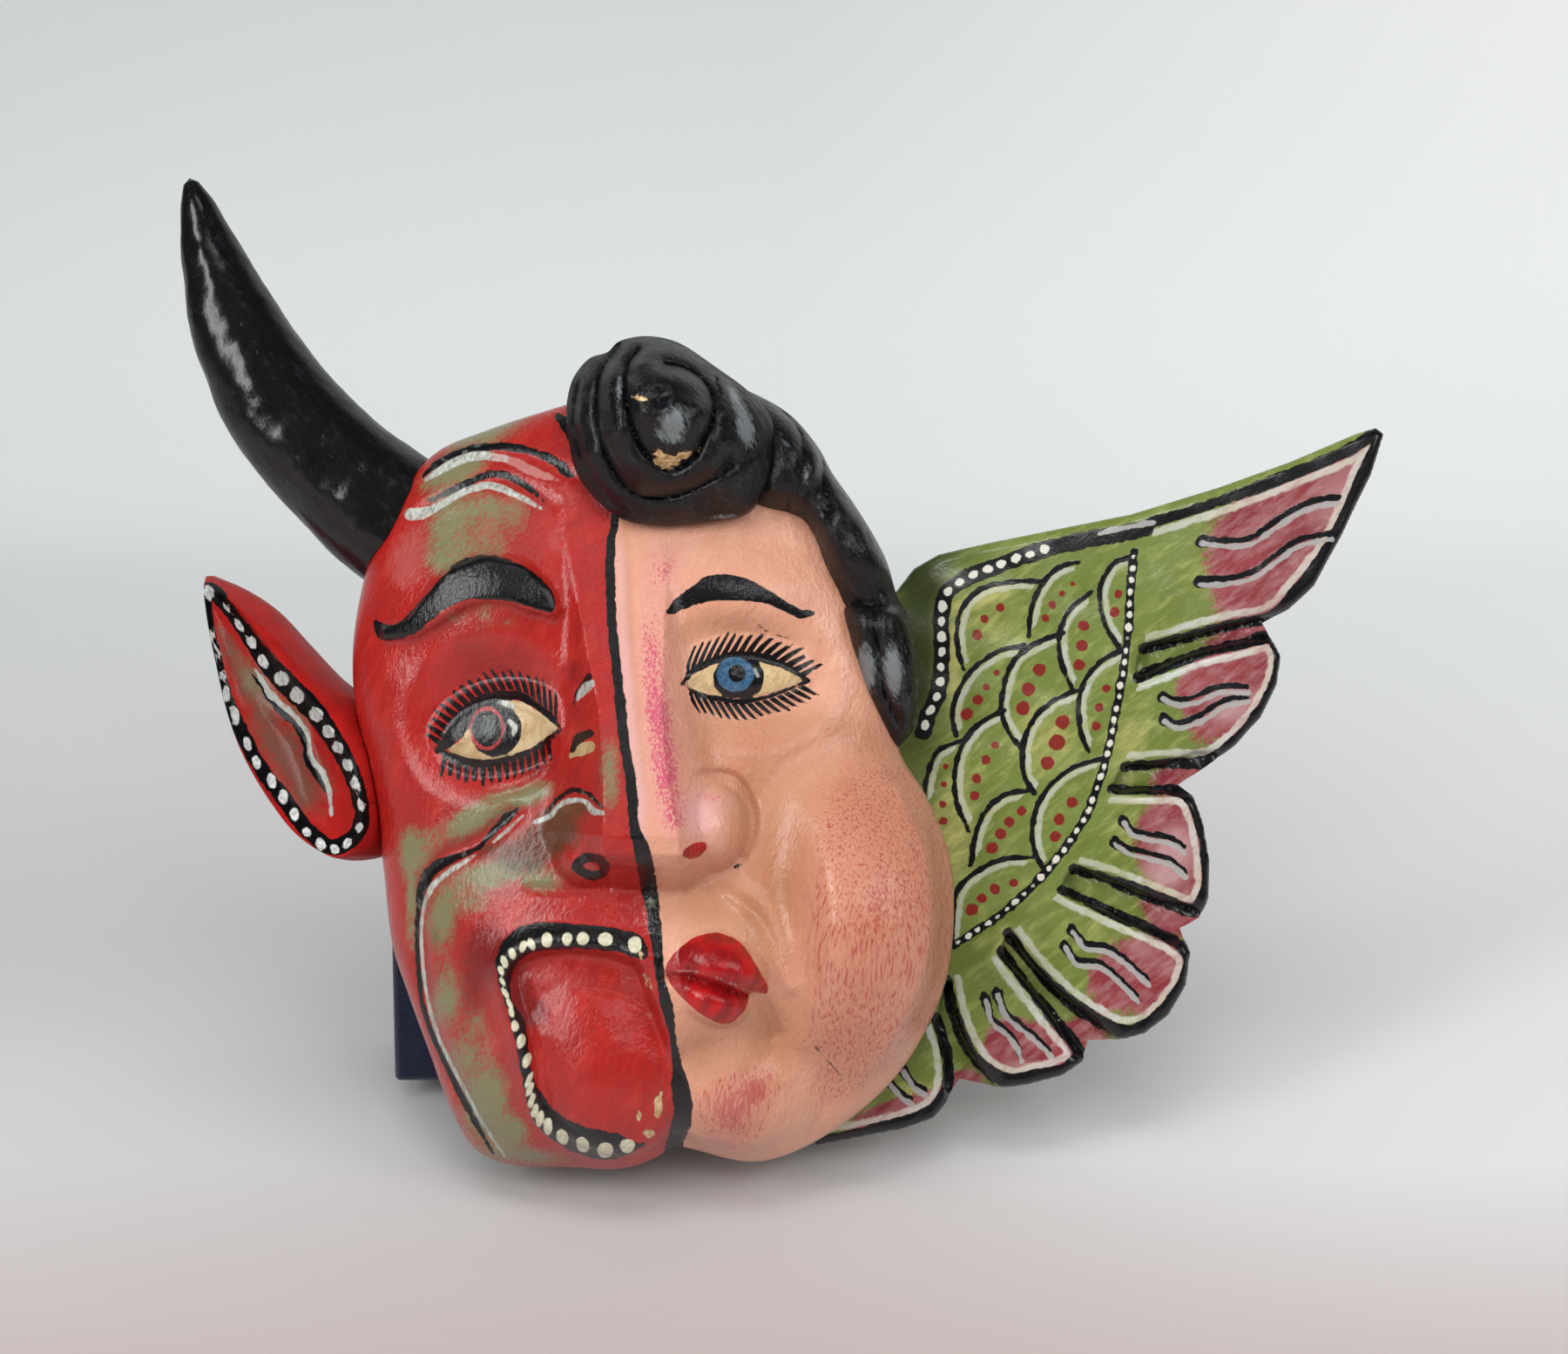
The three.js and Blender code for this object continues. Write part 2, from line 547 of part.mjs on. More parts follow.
// Direction of a path of points, at one of them
function directionAt(points, i) {
  const before = points[Math.max(0, i - 1)];
  const after = points[Math.min(points.length - 1, i + 1)];
  return new THREE.Vector2(after[0] - before[0], after[1] - before[1]).normalize();
}

function hornGeometry() {
  const rings = HORN.map(([u, w, d, radius], i) => {
    const along = directionAt(HORN, i);
    return Array.from({ length: HORN_SIDES }, (_, j) => {
      const angle = (j / HORN_SIDES) * 2 * Math.PI;
      const side = Math.cos(angle) * radius;
      return place(u + along.y * side, w - along.x * side, d + Math.sin(angle) * radius * HORN_FLATNESS);
    });
  });
  const [root, tip] = [HORN[0], HORN[HORN.length - 1]];
  return loft(place(root[0], root[1], root[2]), rings, place(tip[0] - 0.4, tip[1] + 1.6, tip[2]));
}

function earGeometry() {
  const radiusAt = polarOutline(EAR_OUTLINE, EAR_CENTRE);
  const rimAt = polarOutline(EAR_RIM, EAR_CENTRE);
  const plane = (u) => EAR_RIM_DEPTH + EAR_SLOPE * (u - EAR_CENTRE[0]);
  const tipAngle = Math.atan2(EAR_OUTLINE[0][1] - EAR_CENTRE[1], EAR_OUTLINE[0][0] - EAR_CENTRE[0]);
  const ring = (pointAt) => Array.from({ length: EAR_SECTORS }, (_, i) => {
    const angle = tipAngle + (i / EAR_SECTORS) * 2 * Math.PI;
    const [radius, height] = pointAt(angle);
    const u = EAR_CENTRE[0] + radius * Math.cos(angle);
    return place(u, EAR_CENTRE[1] + radius * Math.sin(angle), height(u));
  });
  const rings = [];
  for (const share of [0.25, 0.5, 0.7, 0.85, 0.95]) {
    const sink = EAR_BOWL * (1 - share ** 2) ** 0.8;
    rings.push(ring((angle) => [rimAt(angle) * share, (u) => plane(u) - sink]));
  }
  rings.push(ring((angle) => [rimAt(angle), (u) => plane(u) + 0.8]));
  for (const [t, fall] of [[0.5, 0.2], [0.85, 0.5], [1, 0.8]]) {
    rings.push(ring((angle) => [
      lerp(rimAt(angle), radiusAt(angle), t),
      (u) => lerp(plane(u), EAR_BACK, fall),
    ]));
  }
  rings.push(ring((angle) => [radiusAt(angle) * 0.93, () => EAR_BACK]));
  const [u, w] = EAR_CENTRE;
  return loft(place(u, w, plane(u) - EAR_BOWL), rings, place(u, w, EAR_BACK));
}

// The wing board, thinner towards the tip, with a sunk channel between each two feathers
function wingGeometry() {
  const board = prism(WING_OUTLINE, 0, WING_ROOT_THICKNESS, WING_BEVEL);
  const position = board.getAttribute('position');
  for (let i = 0; i < position.count; i++) {
    const share = THREE.MathUtils.clamp(
      THREE.MathUtils.inverseLerp(WING_SPAN[0], WING_SPAN[1], position.getX(i)), 0, 1,
    );
    position.setY(i, position.getY(i) * lerp(1, WING_TIP_THICKNESS / WING_ROOT_THICKNESS, share));
  }
  return FEATHER_GAPS.reduce(
    (wing, gap) => wing.subtract(solid(prism(gap, FEATHER_GAP_FLOOR, WING_ROOT_THICKNESS + BEYOND))),
    solid(board),
  );
}

// The stand: a block whose chamfered top front edge lies flat against the back of the mask's rim,
// where backHeight is the height at which that back passes over the front of the block
function standGeometry(backHeight) {
  const back = STAND_DEPTH;
  const gap = CLEARANCE / Math.sin(LEAN);
  const shape = new THREE.Shape([
    new THREE.Vector2(0, 0),
    new THREE.Vector2(back, 0),
    new THREE.Vector2(back, backHeight + STAND_CHAMFER - gap),
    new THREE.Vector2(STAND_CHAMFER * Math.tan(LEAN), backHeight + STAND_CHAMFER - gap),
    new THREE.Vector2(0, backHeight - gap),
  ]);
  const geometry = new THREE.ExtrudeGeometry(shape, { depth: STAND_WIDTH, bevelEnabled: false });
  geometry.translate(0, 0, -STAND_WIDTH / 2);
  const [x, y, z] = [new THREE.Vector3(1, 0, 0), new THREE.Vector3(0, 1, 0), new THREE.Vector3(0, 0, 1)];
  geometry.applyMatrix4(new THREE.Matrix4().makeBasis(y, z, x));
  const position = geometry.getAttribute('position');
  for (let i = 0; i < position.count; i++) {
    const narrower = 1 - (2 * STAND_TAPER * position.getZ(i)) / STAND_WIDTH;
    position.setX(i, position.getX(i) * narrower);
  }
  return geometry;
}

function painted(name, geometry, color, roughness) {
  const mesh = new THREE.Mesh(geometry, new THREE.MeshStandardMaterial({ color, roughness, metalness: 0 }));
  mesh.name = name;
  return mesh;
}

const hair = solid(sideHairGeometry()).add(solid(curlGeometry()));
const face = solid(headGeometry()).add(hair).subtract(solid(hollowGeometry()));
const seat = solid(headGeometry(CLEARANCE)).add(solid(sideHairGeometry(CLEARANCE)));

const mask = new THREE.Group();
mask.add(painted('face', surface(face), 0xb42921, 0.35));
mask.add(painted('horn', surface(solid(hornGeometry()).subtract(seat)), 0x17181a, 0.25));
mask.add(painted('ear', surface(solid(earGeometry()).subtract(seat)), 0xb42921, 0.35));
mask.add(painted('wing', surface(wingGeometry().subtract(seat)), 0x6f7f3c, 0.4));
mask.rotation.x = -LEAN;

// The leaning mask is lowered until it touches the floor
const lowest = new THREE.Box3().setFromObject(mask, true).min.z;
mask.position.z = -lowest;

const backHeight = STAND_SETBACK / Math.tan(LEAN) - lowest;
const stand = painted('stand', surface(solid(standGeometry(backHeight))), 0x14162d, 0.95);
stand.position.set(STAND_MIDDLE, STAND_SETBACK, 0);

// The origin is on the floor under the middle of the whole object
const group = new THREE.Group();
group.add(mask, stand);
const box = new THREE.Box3().setFromObject(group, true);
group.position.set(-(box.min.x + box.max.x) / 2, -(box.min.y + box.max.y) / 2, 0);
export default group;
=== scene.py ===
"""Looks of a carved and painted wooden mask, half devil and half cherub, on its cloth-covered stand."""
import math

import bmesh
import bpy
import numpy as np
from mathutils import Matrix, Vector


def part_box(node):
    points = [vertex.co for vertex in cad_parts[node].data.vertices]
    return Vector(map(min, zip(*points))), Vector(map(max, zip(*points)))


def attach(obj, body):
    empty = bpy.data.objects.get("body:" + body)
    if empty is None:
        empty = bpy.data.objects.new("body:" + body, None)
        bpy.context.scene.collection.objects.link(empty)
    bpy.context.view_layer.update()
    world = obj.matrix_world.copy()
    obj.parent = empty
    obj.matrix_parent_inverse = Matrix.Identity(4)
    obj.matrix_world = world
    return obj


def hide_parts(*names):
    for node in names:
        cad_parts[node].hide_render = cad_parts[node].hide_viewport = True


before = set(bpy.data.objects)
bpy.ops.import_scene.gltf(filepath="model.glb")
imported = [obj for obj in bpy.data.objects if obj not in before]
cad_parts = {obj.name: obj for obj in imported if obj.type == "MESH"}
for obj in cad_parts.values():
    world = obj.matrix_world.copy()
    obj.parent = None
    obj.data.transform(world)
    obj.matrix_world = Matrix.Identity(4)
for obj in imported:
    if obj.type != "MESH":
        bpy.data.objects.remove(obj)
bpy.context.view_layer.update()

bl_info = {
    "name": "Devil and cherub mask",
    "version": (1, 0, 0),
    "blender": (4, 5, 0),
    "location": "View3D > Sidebar > Mask",
    "description": "Builds a carved, painted mask, its wing, horn and ear, its stand and a plain stage",
    "category": "Object",
}

# The carving's own frame: u to the right, w up along the mask, d out from its flat back, in millimetres
MM = 0.001
LEAN = math.radians(17)
STAND_MIDDLE = -9.0
STAND_SETBACK = 36.5
MASK_LIFT = -0.966
STAND_LOW, STAND_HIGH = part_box("stand")
ORIGIN = np.array([
    (STAND_LOW.x + STAND_HIGH.x) / 2 / MM - STAND_MIDDLE,
    STAND_LOW.y / MM - STAND_SETBACK,
    MASK_LIFT,
])

# The photograph's viewpoint in that frame. Painted strokes are drawn as seen from there, in the
# photograph's pixels, each about a quarter of a millimetre on the mask.
EYE = (37.5, 139.5, 680.0)
PHOTO_MIDDLE = (900, 777)
FOCAL_PIXELS = 2600
PHOTO_WIDTH = 1800
SENSOR_WIDTH = 36.0
FAR = 40.0


def placed(u, w, d):
    """Points of the carving's frame in the row frame, in metres."""
    u, w, d = np.broadcast_arrays(np.asarray(u, float), w, d)
    y = -d * math.cos(LEAN) + w * math.sin(LEAN)
    z = d * math.sin(LEAN) + w * math.cos(LEAN)
    return (np.stack([u, y, z], axis=-1) + ORIGIN) * MM


def carved(points):
    """Points of the row frame in the carving's frame, the other way round."""
    x, y, z = (np.asarray(points, float) / MM - ORIGIN).T
    return x, y * math.sin(LEAN) + z * math.cos(LEAN), z * math.sin(LEAN) - y * math.cos(LEAN)


def drawn(u, w, d):
    """Where a point of the carving is seen in the photograph."""
    scale = FOCAL_PIXELS / (EYE[2] - d)
    return PHOTO_MIDDLE[0] + (u - EYE[0]) * scale, PHOTO_MIDDLE[1] - (w - EYE[1]) * scale


def seen_at(points, d):
    """Places on the carving of points seen in the photograph, at a given height."""
    scale = (EYE[2] - d) / FOCAL_PIXELS
    return [(EYE[0] + (x - PHOTO_MIDDLE[0]) * scale, EYE[1] - (y - PHOTO_MIDDLE[1]) * scale)
            for x, y in points]


# Curves and distances

def smooth_path(points, steps=8, closed=False):
    """Curve through points of any dimension, with centripetal spacing so that it doesn't overshoot."""
    p = np.array(points, float)
    if closed:
        p = np.vstack([p[-1], p, p[0], p[1]])
    else:
        p = np.vstack([2 * p[0] - p[1], p, 2 * p[-1] - p[-2]])
    curve = []
    for i in range(1, len(p) - 2):
        p0, p1, p2, p3 = p[i - 1:i + 3]
        d0, d1, d2 = (max(np.hypot(*(b - a)[:2]) ** 0.5, 1e-6) for a, b in ((p0, p1), (p1, p2), (p2, p3)))
        m1 = ((p1 - p0) / d0 - (p2 - p0) / (d0 + d1) + (p2 - p1) / d1) * d1
        m2 = ((p2 - p1) / d1 - (p3 - p1) / (d1 + d2) + (p3 - p2) / d2) * d1
        for t in np.arange(steps) / steps:
            curve.append(
                (2 * t ** 3 - 3 * t ** 2 + 1) * p1 + (t ** 3 - 2 * t ** 2 + t) * m1
                + (3 * t ** 2 - 2 * t ** 3) * p2 + (t ** 3 - t ** 2) * m2
            )
    if not closed:
        curve.append(p[-2])
    return np.array(curve)


def wrapped(angle):
    """The same direction as an angle of at most half a turn either way."""
    return np.arctan2(np.sin(angle), np.cos(angle))


def around(centre, radius, angle):
    """Points at a distance from a centre, in each of some directions."""
    return np.array(centre)[:, None] + radius * np.stack([np.cos(angle), np.sin(angle)])


def polar_outline(points, centre):
    """Radius of a rounded outline about its centre, as a function of the angle."""
    spokes = smooth_path(points, 12, closed=True)[:, :2] - centre
    angles = np.arctan2(spokes[:, 1], spokes[:, 0])
    order = np.argsort(angles)
    radii = np.hypot(*spokes[order].T)
    angles = angles[order]
    return lambda angle: np.interp(wrapped(angle), angles, radii, period=2 * math.pi)


def near_path(x, y, path, reach=FAR):
    """Distance to a polyline, its third value at the nearest place, and the length along it up to there."""
    path = np.asarray(path, float)
    if path.shape[1] == 2:
        path = np.hstack([path, np.zeros((len(path), 1))])
    best = np.full(x.shape, float(reach))
    value = np.zeros(x.shape)
    along = np.zeros(x.shape)
    low = path[:, :2].min(0) - reach
    high = path[:, :2].max(0) + reach
    near = (x > low[0]) & (x < high[0]) & (y > low[1]) & (y < high[1])
    xs, ys, b, v, s = x[near], y[near], best[near], value[near], along[near]
    travelled = 0.0
    for (ax, ay, av), (bx, by, bv) in zip(path[:-1], path[1:]):
        length = math.hypot(bx - ax, by - ay)
        if length < 1e-9:
            continue
        t = np.clip(((xs - ax) * (bx - ax) + (ys - ay) * (by - ay)) / length ** 2, 0, 1)
        distance = np.hypot(xs - ax - t * (bx - ax), ys - ay - t * (by - ay))
        closer = distance < b
        b = np.where(closer, distance, b)
        v = np.where(closer, av + t * (bv - av), v)
        s = np.where(closer, travelled + t * length, s)
        travelled += length
    best[near], value[near], along[near] = b, v, s
    return best, value, along


def inside_outline(x, y, outline):
    """Whether points lie inside a closed outline."""
    inside = np.zeros(x.shape, bool)
    for (ax, ay), (bx, by) in zip(outline, np.roll(outline, 1, axis=0)):
        if ay != by:
            inside ^= ((ay > y) != (by > y)) & (x < (bx - ax) * (y - ay) / (by - ay) + ax)
    return inside


def area(x, y, outline, smooth=True, reach=FAR):
    """Signed distance to an outline's edge, negative inside it."""
    ring = smooth_path(outline, 6, closed=True)[:, :2] if smooth else np.array(outline, float)
    distance = near_path(x, y, np.vstack([ring, ring[:1]]), reach)[0]
    return np.where(inside_outline(x, y, ring), -distance, distance)


def strokes(x, y, paths, width=8.0):
    """Signed distance to the edge of brush strokes, each a list of x, y and perhaps a full width."""
    best = np.full(x.shape, FAR)
    for path in paths:
        curve = smooth_path(path, 6)
        if curve.shape[1] == 2:
            curve = np.hstack([curve, np.full((len(curve), 1), width)])
        distance, full, _ = near_path(x, y, curve)
        best = np.minimum(best, distance - full / 2)
    return best


def ellipse(x, y, middle, half, turn=0.0):
    """Share of the way from the middle of an ellipse to its edge."""
    angle = math.radians(turn)
    across = (x - middle[0]) * math.cos(angle) + (y - middle[1]) * math.sin(angle)
    along = (y - middle[1]) * math.cos(angle) - (x - middle[0]) * math.sin(angle)
    return np.sqrt((across / half[0]) ** 2 + (along / half[1]) ** 2)


def spots(x, y, rows):
    """Signed distance to oval spots, each its middle, half sizes and turn."""
    best = np.full(x.shape, FAR)
    for cx, cy, across, along, turn in rows:
        share = ellipse(x, y, (cx, cy), (across, along), turn)
        best = np.minimum(best, (share - 1) * min(across, along))
    return best


def clouds(x, y, rows):
    """Soft density between 0 and 1 from rows of middle, half sizes, turn and strength."""
    left = np.ones(x.shape)
    for cx, cy, across, along, turn, strength in rows:
        left = left * (1 - strength * np.exp(-ellipse(x, y, (cx, cy), (across, along), turn) ** 2))
    return 1 - left


def ease(a, b, x):
    """Eased step from 0 at a to 1 at b."""
    t = np.clip((x - a) / (b - a), 0, 1)
    return t * t * (3 - 2 * t)


def joined(a, b, rounding):
    """The higher of two surfaces, rounded where they meet."""
    share = np.clip(0.5 + 0.5 * (a - b) / rounding, 0, 1)
    return b + (a - b) * share + rounding * share * (1 - share)


def waves(points, height, size, seed):
    """Smooth unevenness of about the given height either way, with features of about the given size."""
    random = np.random.default_rng(seed)
    total = np.zeros(len(points))
    for _ in range(9):
        direction = random.normal(size=3)
        direction *= 2 * math.pi / (size * random.uniform(0.7, 1.6)) / np.linalg.norm(direction)
        total += np.sin(points @ direction + random.uniform(0, 2 * math.pi))
    return total / 3 * height


# Meshes

def linked(name, data):
    """A new object in the scene."""
    item = bpy.data.objects.new(name, data)
    bpy.context.scene.collection.objects.link(item)
    return item


def new_piece(name, points, faces):
    """A mesh object from points in metres and faces."""
    mesh = bpy.data.meshes.new(name)
    mesh.from_pydata(np.asarray(points).tolist(), [], [tuple(face) for face in faces])
    mesh.validate()
    return linked(name, mesh)


def loft(name, first, rings, last):
    """Closed mesh through rings of points, drawn to a point at both ends, with its faces outwards."""
    rings = [np.asarray(ring) for ring in rings]
    count = len(rings[0])
    points = np.vstack([np.reshape(first, (1, 3)), *rings, np.reshape(last, (1, 3))])
    here = np.arange(count)
    after = (here + 1) % count
    faces = [(0, 1 + b, 1 + a) for a, b in zip(here, after)]
    for r in range(len(rings) - 1):
        low, high = 1 + r * count, 1 + (r + 1) * count
        faces += np.stack([low + here, low + after, high + after, high + here], axis=1).tolist()
    end = 1 + (len(rings) - 1) * count
    faces += [(len(points) - 1, end + a, end + b) for a, b in zip(here, after)]
    volume = sum(
        np.dot(points[face[0]], np.cross(points[face[i]], points[face[i + 1]]))
        for face in faces[::7] for i in range(1, len(face) - 1)
    )
    if volume < 0:
        faces = [face[::-1] for face in faces]
    return new_piece(name, points, faces)


def cut(piece, tool, operation, keep_tool=False):
    """Joins, subtracts or intersects another closed mesh and applies the result."""
    modifier = piece.modifiers.new("cut", "BOOLEAN")
    modifier.solver = "MANIFOLD"
    modifier.operation = operation
    modifier.object = tool
    graph = bpy.context.evaluated_depsgraph_get()
    result = bpy.data.meshes.new_from_object(piece.evaluated_get(graph))
    piece.modifiers.clear()
    if not result.polygons:
        raise RuntimeError(f"the {operation.lower()} left nothing of {piece.name}")
    piece.data = result
    if not keep_tool:
        bpy.data.objects.remove(tool)
    return piece


def triples(items, key, kind=float):
    """One property of three numbers of all of a mesh's items, as an array."""
    values = np.empty(len(items) * 3, dtype=kind)
    items.foreach_get(key, values)
    return values.reshape(-1, 3)


def turn_outwards(mesh):
    """Turns a closed mesh so that its faces point out."""
    mesh.calc_loop_triangles()
    corners = triples(mesh.loop_triangles, "vertices", np.int32)
    a, b, c = triples(mesh.vertices, "co")[corners].transpose(1, 0, 2)
    if np.einsum("ij,ij->", a, np.cross(b, c)) < 0:
        mesh.flip_normals()


def attribute(piece, name, x, y=0.0, z=0.0):
    """Stores up to three values at each vertex under one name."""
    layer = piece.data.attributes.new(name, "FLOAT_VECTOR", "POINT")
    values = np.stack(np.broadcast_arrays(x, y, z), axis=-1)
    layer.data.foreach_set("vector", values.astype(np.float32).ravel())


def coat_with(piece, material):
    """Gives a piece one material all over."""
    piece.data.materials.clear()
    piece.data.materials.append(material)


def smooth_shading(piece, angle=35):
    """Smooth shading with the sharp edges kept."""
    mesh = piece.data
    mesh.polygons.foreach_set("use_smooth", np.ones(len(mesh.polygons), bool))
    mesh.set_sharp_from_angle(angle=math.radians(angle))


def finish_piece(piece, node):
    """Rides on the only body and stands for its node."""
    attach(piece, "root")
    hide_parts(node)


# Shape of the face

FACE_CENTRE = (-4.0, 100.0)
FACE_OUTLINE = [
    (5, 223), (-14, 221.5), (-28, 217.5), (-48, 211), (-63, 204.5), (-74.5, 191.5), (-80.5, 179),
    (-84.5, 165), (-87, 148.5), (-86.5, 133), (-83, 116), (-80, 100), (-78, 83), (-75.5, 62),
    (-71, 48), (-65, 31.5), (-58.5, 14.5), (-52, 3.5), (-43, -1), (-26, -2), (-8, -0.5), (2, 3.5),
    (6, 6), (14, 2.5), (29, -0.5), (42, 3), (58.5, 13.5), (70, 25), (79, 40), (84, 54), (86, 73),
    (84.5, 90), (78, 106), (71, 118), (69, 139), (64, 159), (56, 179), (40, 203), (25, 216.5),
]
RIM_DEPTH = 25.0
FACE_HEIGHT = 52.0
RIM_INSET = 0.03
WALL = 12.0
HOLLOW_DEPTH = 35.0
GOUGE_DEPTH = 0.5
CLEARANCE = 0.3
CHEEK_PLACE = (86, 66)
CHEEK_FULLNESS = 9.0
CHEEK_SPREAD = 0.45
# How much closer together the rings of the mesh lie towards the outline
RING_CROWDING = 0.25
# The tool that hollows the head out reaches this far past the back
HOLLOW_END = -2
# Distances to a carved line or edge are worked out up to here
CARVING_REACH = 8
# Where the soft carving starts to fade out, as a share of the way to the outline
CARVING_END = 0.9

# Soft swellings and hollows: middle, half sizes, turn, rise and softness of the foot
SWELLINGS = [
    ((-44, 127), (30, 25), 8, -10, 2), ((-42.5, 125.5), (21, 14), 10, 9, 1.2),
    ((-46, 164), (38, 24), 8, 4, 2), ((-18, 45), (54, 62), 0, 8, 1.6),
    ((27, 139), (29, 22), 0, -8, 2), ((26, 140), (21, 12), 0, 7.5, 1.2),
    ((27, 165), (30, 14), -6, 2.5, 2), ((62, 70), (42, 54), 6, 19, 1.7),
    ((17, 57), (27, 30), 0, 9, 1.6), ((38, 72), (13, 38), 0, -6, 1.6), ((25, 18), (24, 22), 0, 9, 1.4),
]
LUMP_FALL = 40.0
TONGUE = ((-12, 32), (22, 28), 22, 42, 15, 1.1)
UPPER_LIP = ((19.5, 60.5), (14.5, 9.5), -22, 52, 16)
LOWER_LIP = ((17.5, 51.5), (11.5, 8.5), -25, 52, 14)
CHERUB_NOSTRIL = ((16.5, 98), (11.5, 13.5), 0, 46, 20)
DEVIL_NOSTRIL = ((-15.5, 90), (12, 10.5), 0, 46, 18)
NOSE_MIDLINE = ((-10, 182), (-0.5, 92))
NOSE_SIDE_SLOPE = 1.35
NOSE_PROFILE = [
    (60, 24, 9), (79, 53, 9), (89, 71, 9.5), (92, 74.5, 10), (97, 75.5, 10), (112, 70.5, 8.5),
    (130, 63, 8.5), (150, 56.5, 11), (168, 51, 13), (190, 42, 14), (230, 0, 14),
]
BROW_RISE = 3.2
BROW_SOFTNESS = 1.2
# How softly each part meets the face
TONGUE_ROUNDING = 6
LIP_ROUNDING = 1
NOSE_ROUNDING = 4
CHERUB_NOSTRIL_ROUNDING = 1
DEVIL_NOSTRIL_ROUNDING = 2.5
DEVIL_BROW_RIDGE = [
    (-74, 152, 2.2), (-66, 153.5, 3), (-60, 158.5, 4.5), (-53, 164.5, 6), (-45, 167, 6.5),
    (-37, 165.5, 6), (-30, 161, 4.5), (-27, 158.5, 2.5),
]
LIP_RISE = 2.5
LIP_HALF_WIDTH = 3.6
MOUTH_SINK = 5.0
MOUTH_EDGE = (1, 5)
DEVIL_LIP = [
    (-1, 63.5), (-12, 66.5), (-22, 67.3), (-30, 66.5), (-36, 64.5), (-40, 61), (-41, 57), (-40, 51.5),
    (-37, 42), (-34.5, 33), (-33.5, 25.5), (-31.5, 19.5), (-28.5, 15), (-23, 11.3), (-17, 9.4),
    (-11, 8.2), (-5.5, 9.5),
]
MOUTH_MIDLINE = [(4, 13), (8, 28), (6.5, 42), (2.5, 56)]
FOLD_DEPTH = 2.5
FOLD_HALF_WIDTH = 2.8
DEVIL_FOLD = [
    (-38, 101.5), (-48.5, 93), (-56, 90), (-62, 85), (-65, 79), (-65.8, 66), (-65, 54), (-62, 40),
    (-56, 26), (-51, 16), (-46, 7),
]

# Finer carving: paths with a rise, negative for a groove, and a half width
FINE_CARVING = [
    ([(-59, 119), (-50, 115), (-38, 114), (-29, 117.5), (-25, 124)], -0.9, 1.6),
    ([(-60, 121), (-54, 129), (-44, 133.5), (-34, 131.5), (-25, 125)], 0.9, 1.7),
    ([(-27, 122), (-28, 114), (-34, 109), (-44, 106)], -1.2, 1.6),
    ([(10, 138.5), (16, 142.5), (25, 145.5), (35, 143.5), (43, 139)], 0.8, 1.5),
    ([(10, 138), (18, 134.5), (26, 133.5), (36, 135), (43, 138.5)], -0.8, 1.5),
    ([(-68, 193), (-55, 201), (-42, 202.5), (-28, 199), (-22, 195.5)], -0.8, 1.8),
    ([(-66, 187), (-53, 192), (-44, 195), (-35, 193), (-27, 188)], -0.8, 1.8),
    ([(5.5, 57.5), (11, 57.5), (19, 55.5), (26.5, 52)], -2.6, 1.2),
    ([(15, 113), (24, 111.5), (28.5, 104), (29, 97), (26, 90)], -2.2, 1.2),
    ([(21.9, 80), (30.8, 72.8), (36.8, 59.5), (39.4, 54)], 1.6, 1.8),
    ([(28, 54), (33, 47), (35, 40)], -1.8, 2.0),
    ([(-32, 81), (-22, 80.5), (-12, 82), (-1, 80.5)], -1.0, 1.4),
    ([(-20, 54), (-12, 53), (-4, 51), (1, 47)], -0.9, 1.3),
    ([(-35, 54), (-33, 47), (-30, 40)], 0.8, 2.0),
]

# Where the face has its finest lines: direction from its middle, spread and how much denser the mesh is
FINE_DIRECTIONS = [(-112, 28, 1.2), (130, 22, 0.6), (146, 20, 0.5), (53, 20, 0.4)]

# Hair
CURL_CORE = (4.0, 213.0)
CURL_HEIGHT = 78.0
CURL_EDGE_HEIGHT = 51.0
CURL_BACK = 6.0
# Drilled hole in the curl: across, along, radius and depth
CURL_HOLE = (3.9, 214.4, 3.2, 3.4)
# Unevenness of the knife: height, size of its features and seed
CURL_UNEVENNESS = (0.35, 9, 3)
HAIR_UNEVENNESS = (0.3, 10, 5)
HORN_UNEVENNESS = ((0.24, 16, 11), (0.07, 5, 12))
WING_UNEVENNESS = (0.18, 12, 21)
CURL_OUTLINE = [
    (-11.4, 229.8), (-8.5, 232.6), (-1, 234.2), (8, 232.4), (18, 226), (28, 218.5), (34, 211),
    (34.5, 203), (32.5, 193), (27.5, 185.5), (17.5, 183), (2, 181.7), (-8.5, 184), (-19, 194),
    (-22.4, 205.5), (-22.8, 216), (-20.5, 223.5), (-16.5, 228),
]
# Creases of the hair as seen in the photograph, with depth and half width in millimetres
CURL_CREASES = [
    ([(731, 398), (721, 415), (718, 440), (722, 470), (730, 500), (744, 525), (767, 540), (796, 527),
      (808, 508), (819, 482), (818, 455), (806, 434), (786, 420), (764, 416)], 4.6, 5.0),
    ([(706, 388), (692, 412), (684, 445), (684, 480), (691, 513), (704, 540), (720, 560), (740, 569),
      (765, 569), (792, 562), (822, 547), (842, 530)], 4.4, 5.5),
    ([(660, 436), (655, 480), (664, 520), (682, 553), (704, 578)], 2.0, 3.0),
    ([(821, 429), (824, 441), (827, 452)], 2.2, 1.4),
    ([(849, 527), (860, 525), (872, 514)], 1.8, 1.2),
    ([(846, 440), (858, 466), (862, 500), (852, 524)], 1.6, 4.5),
]
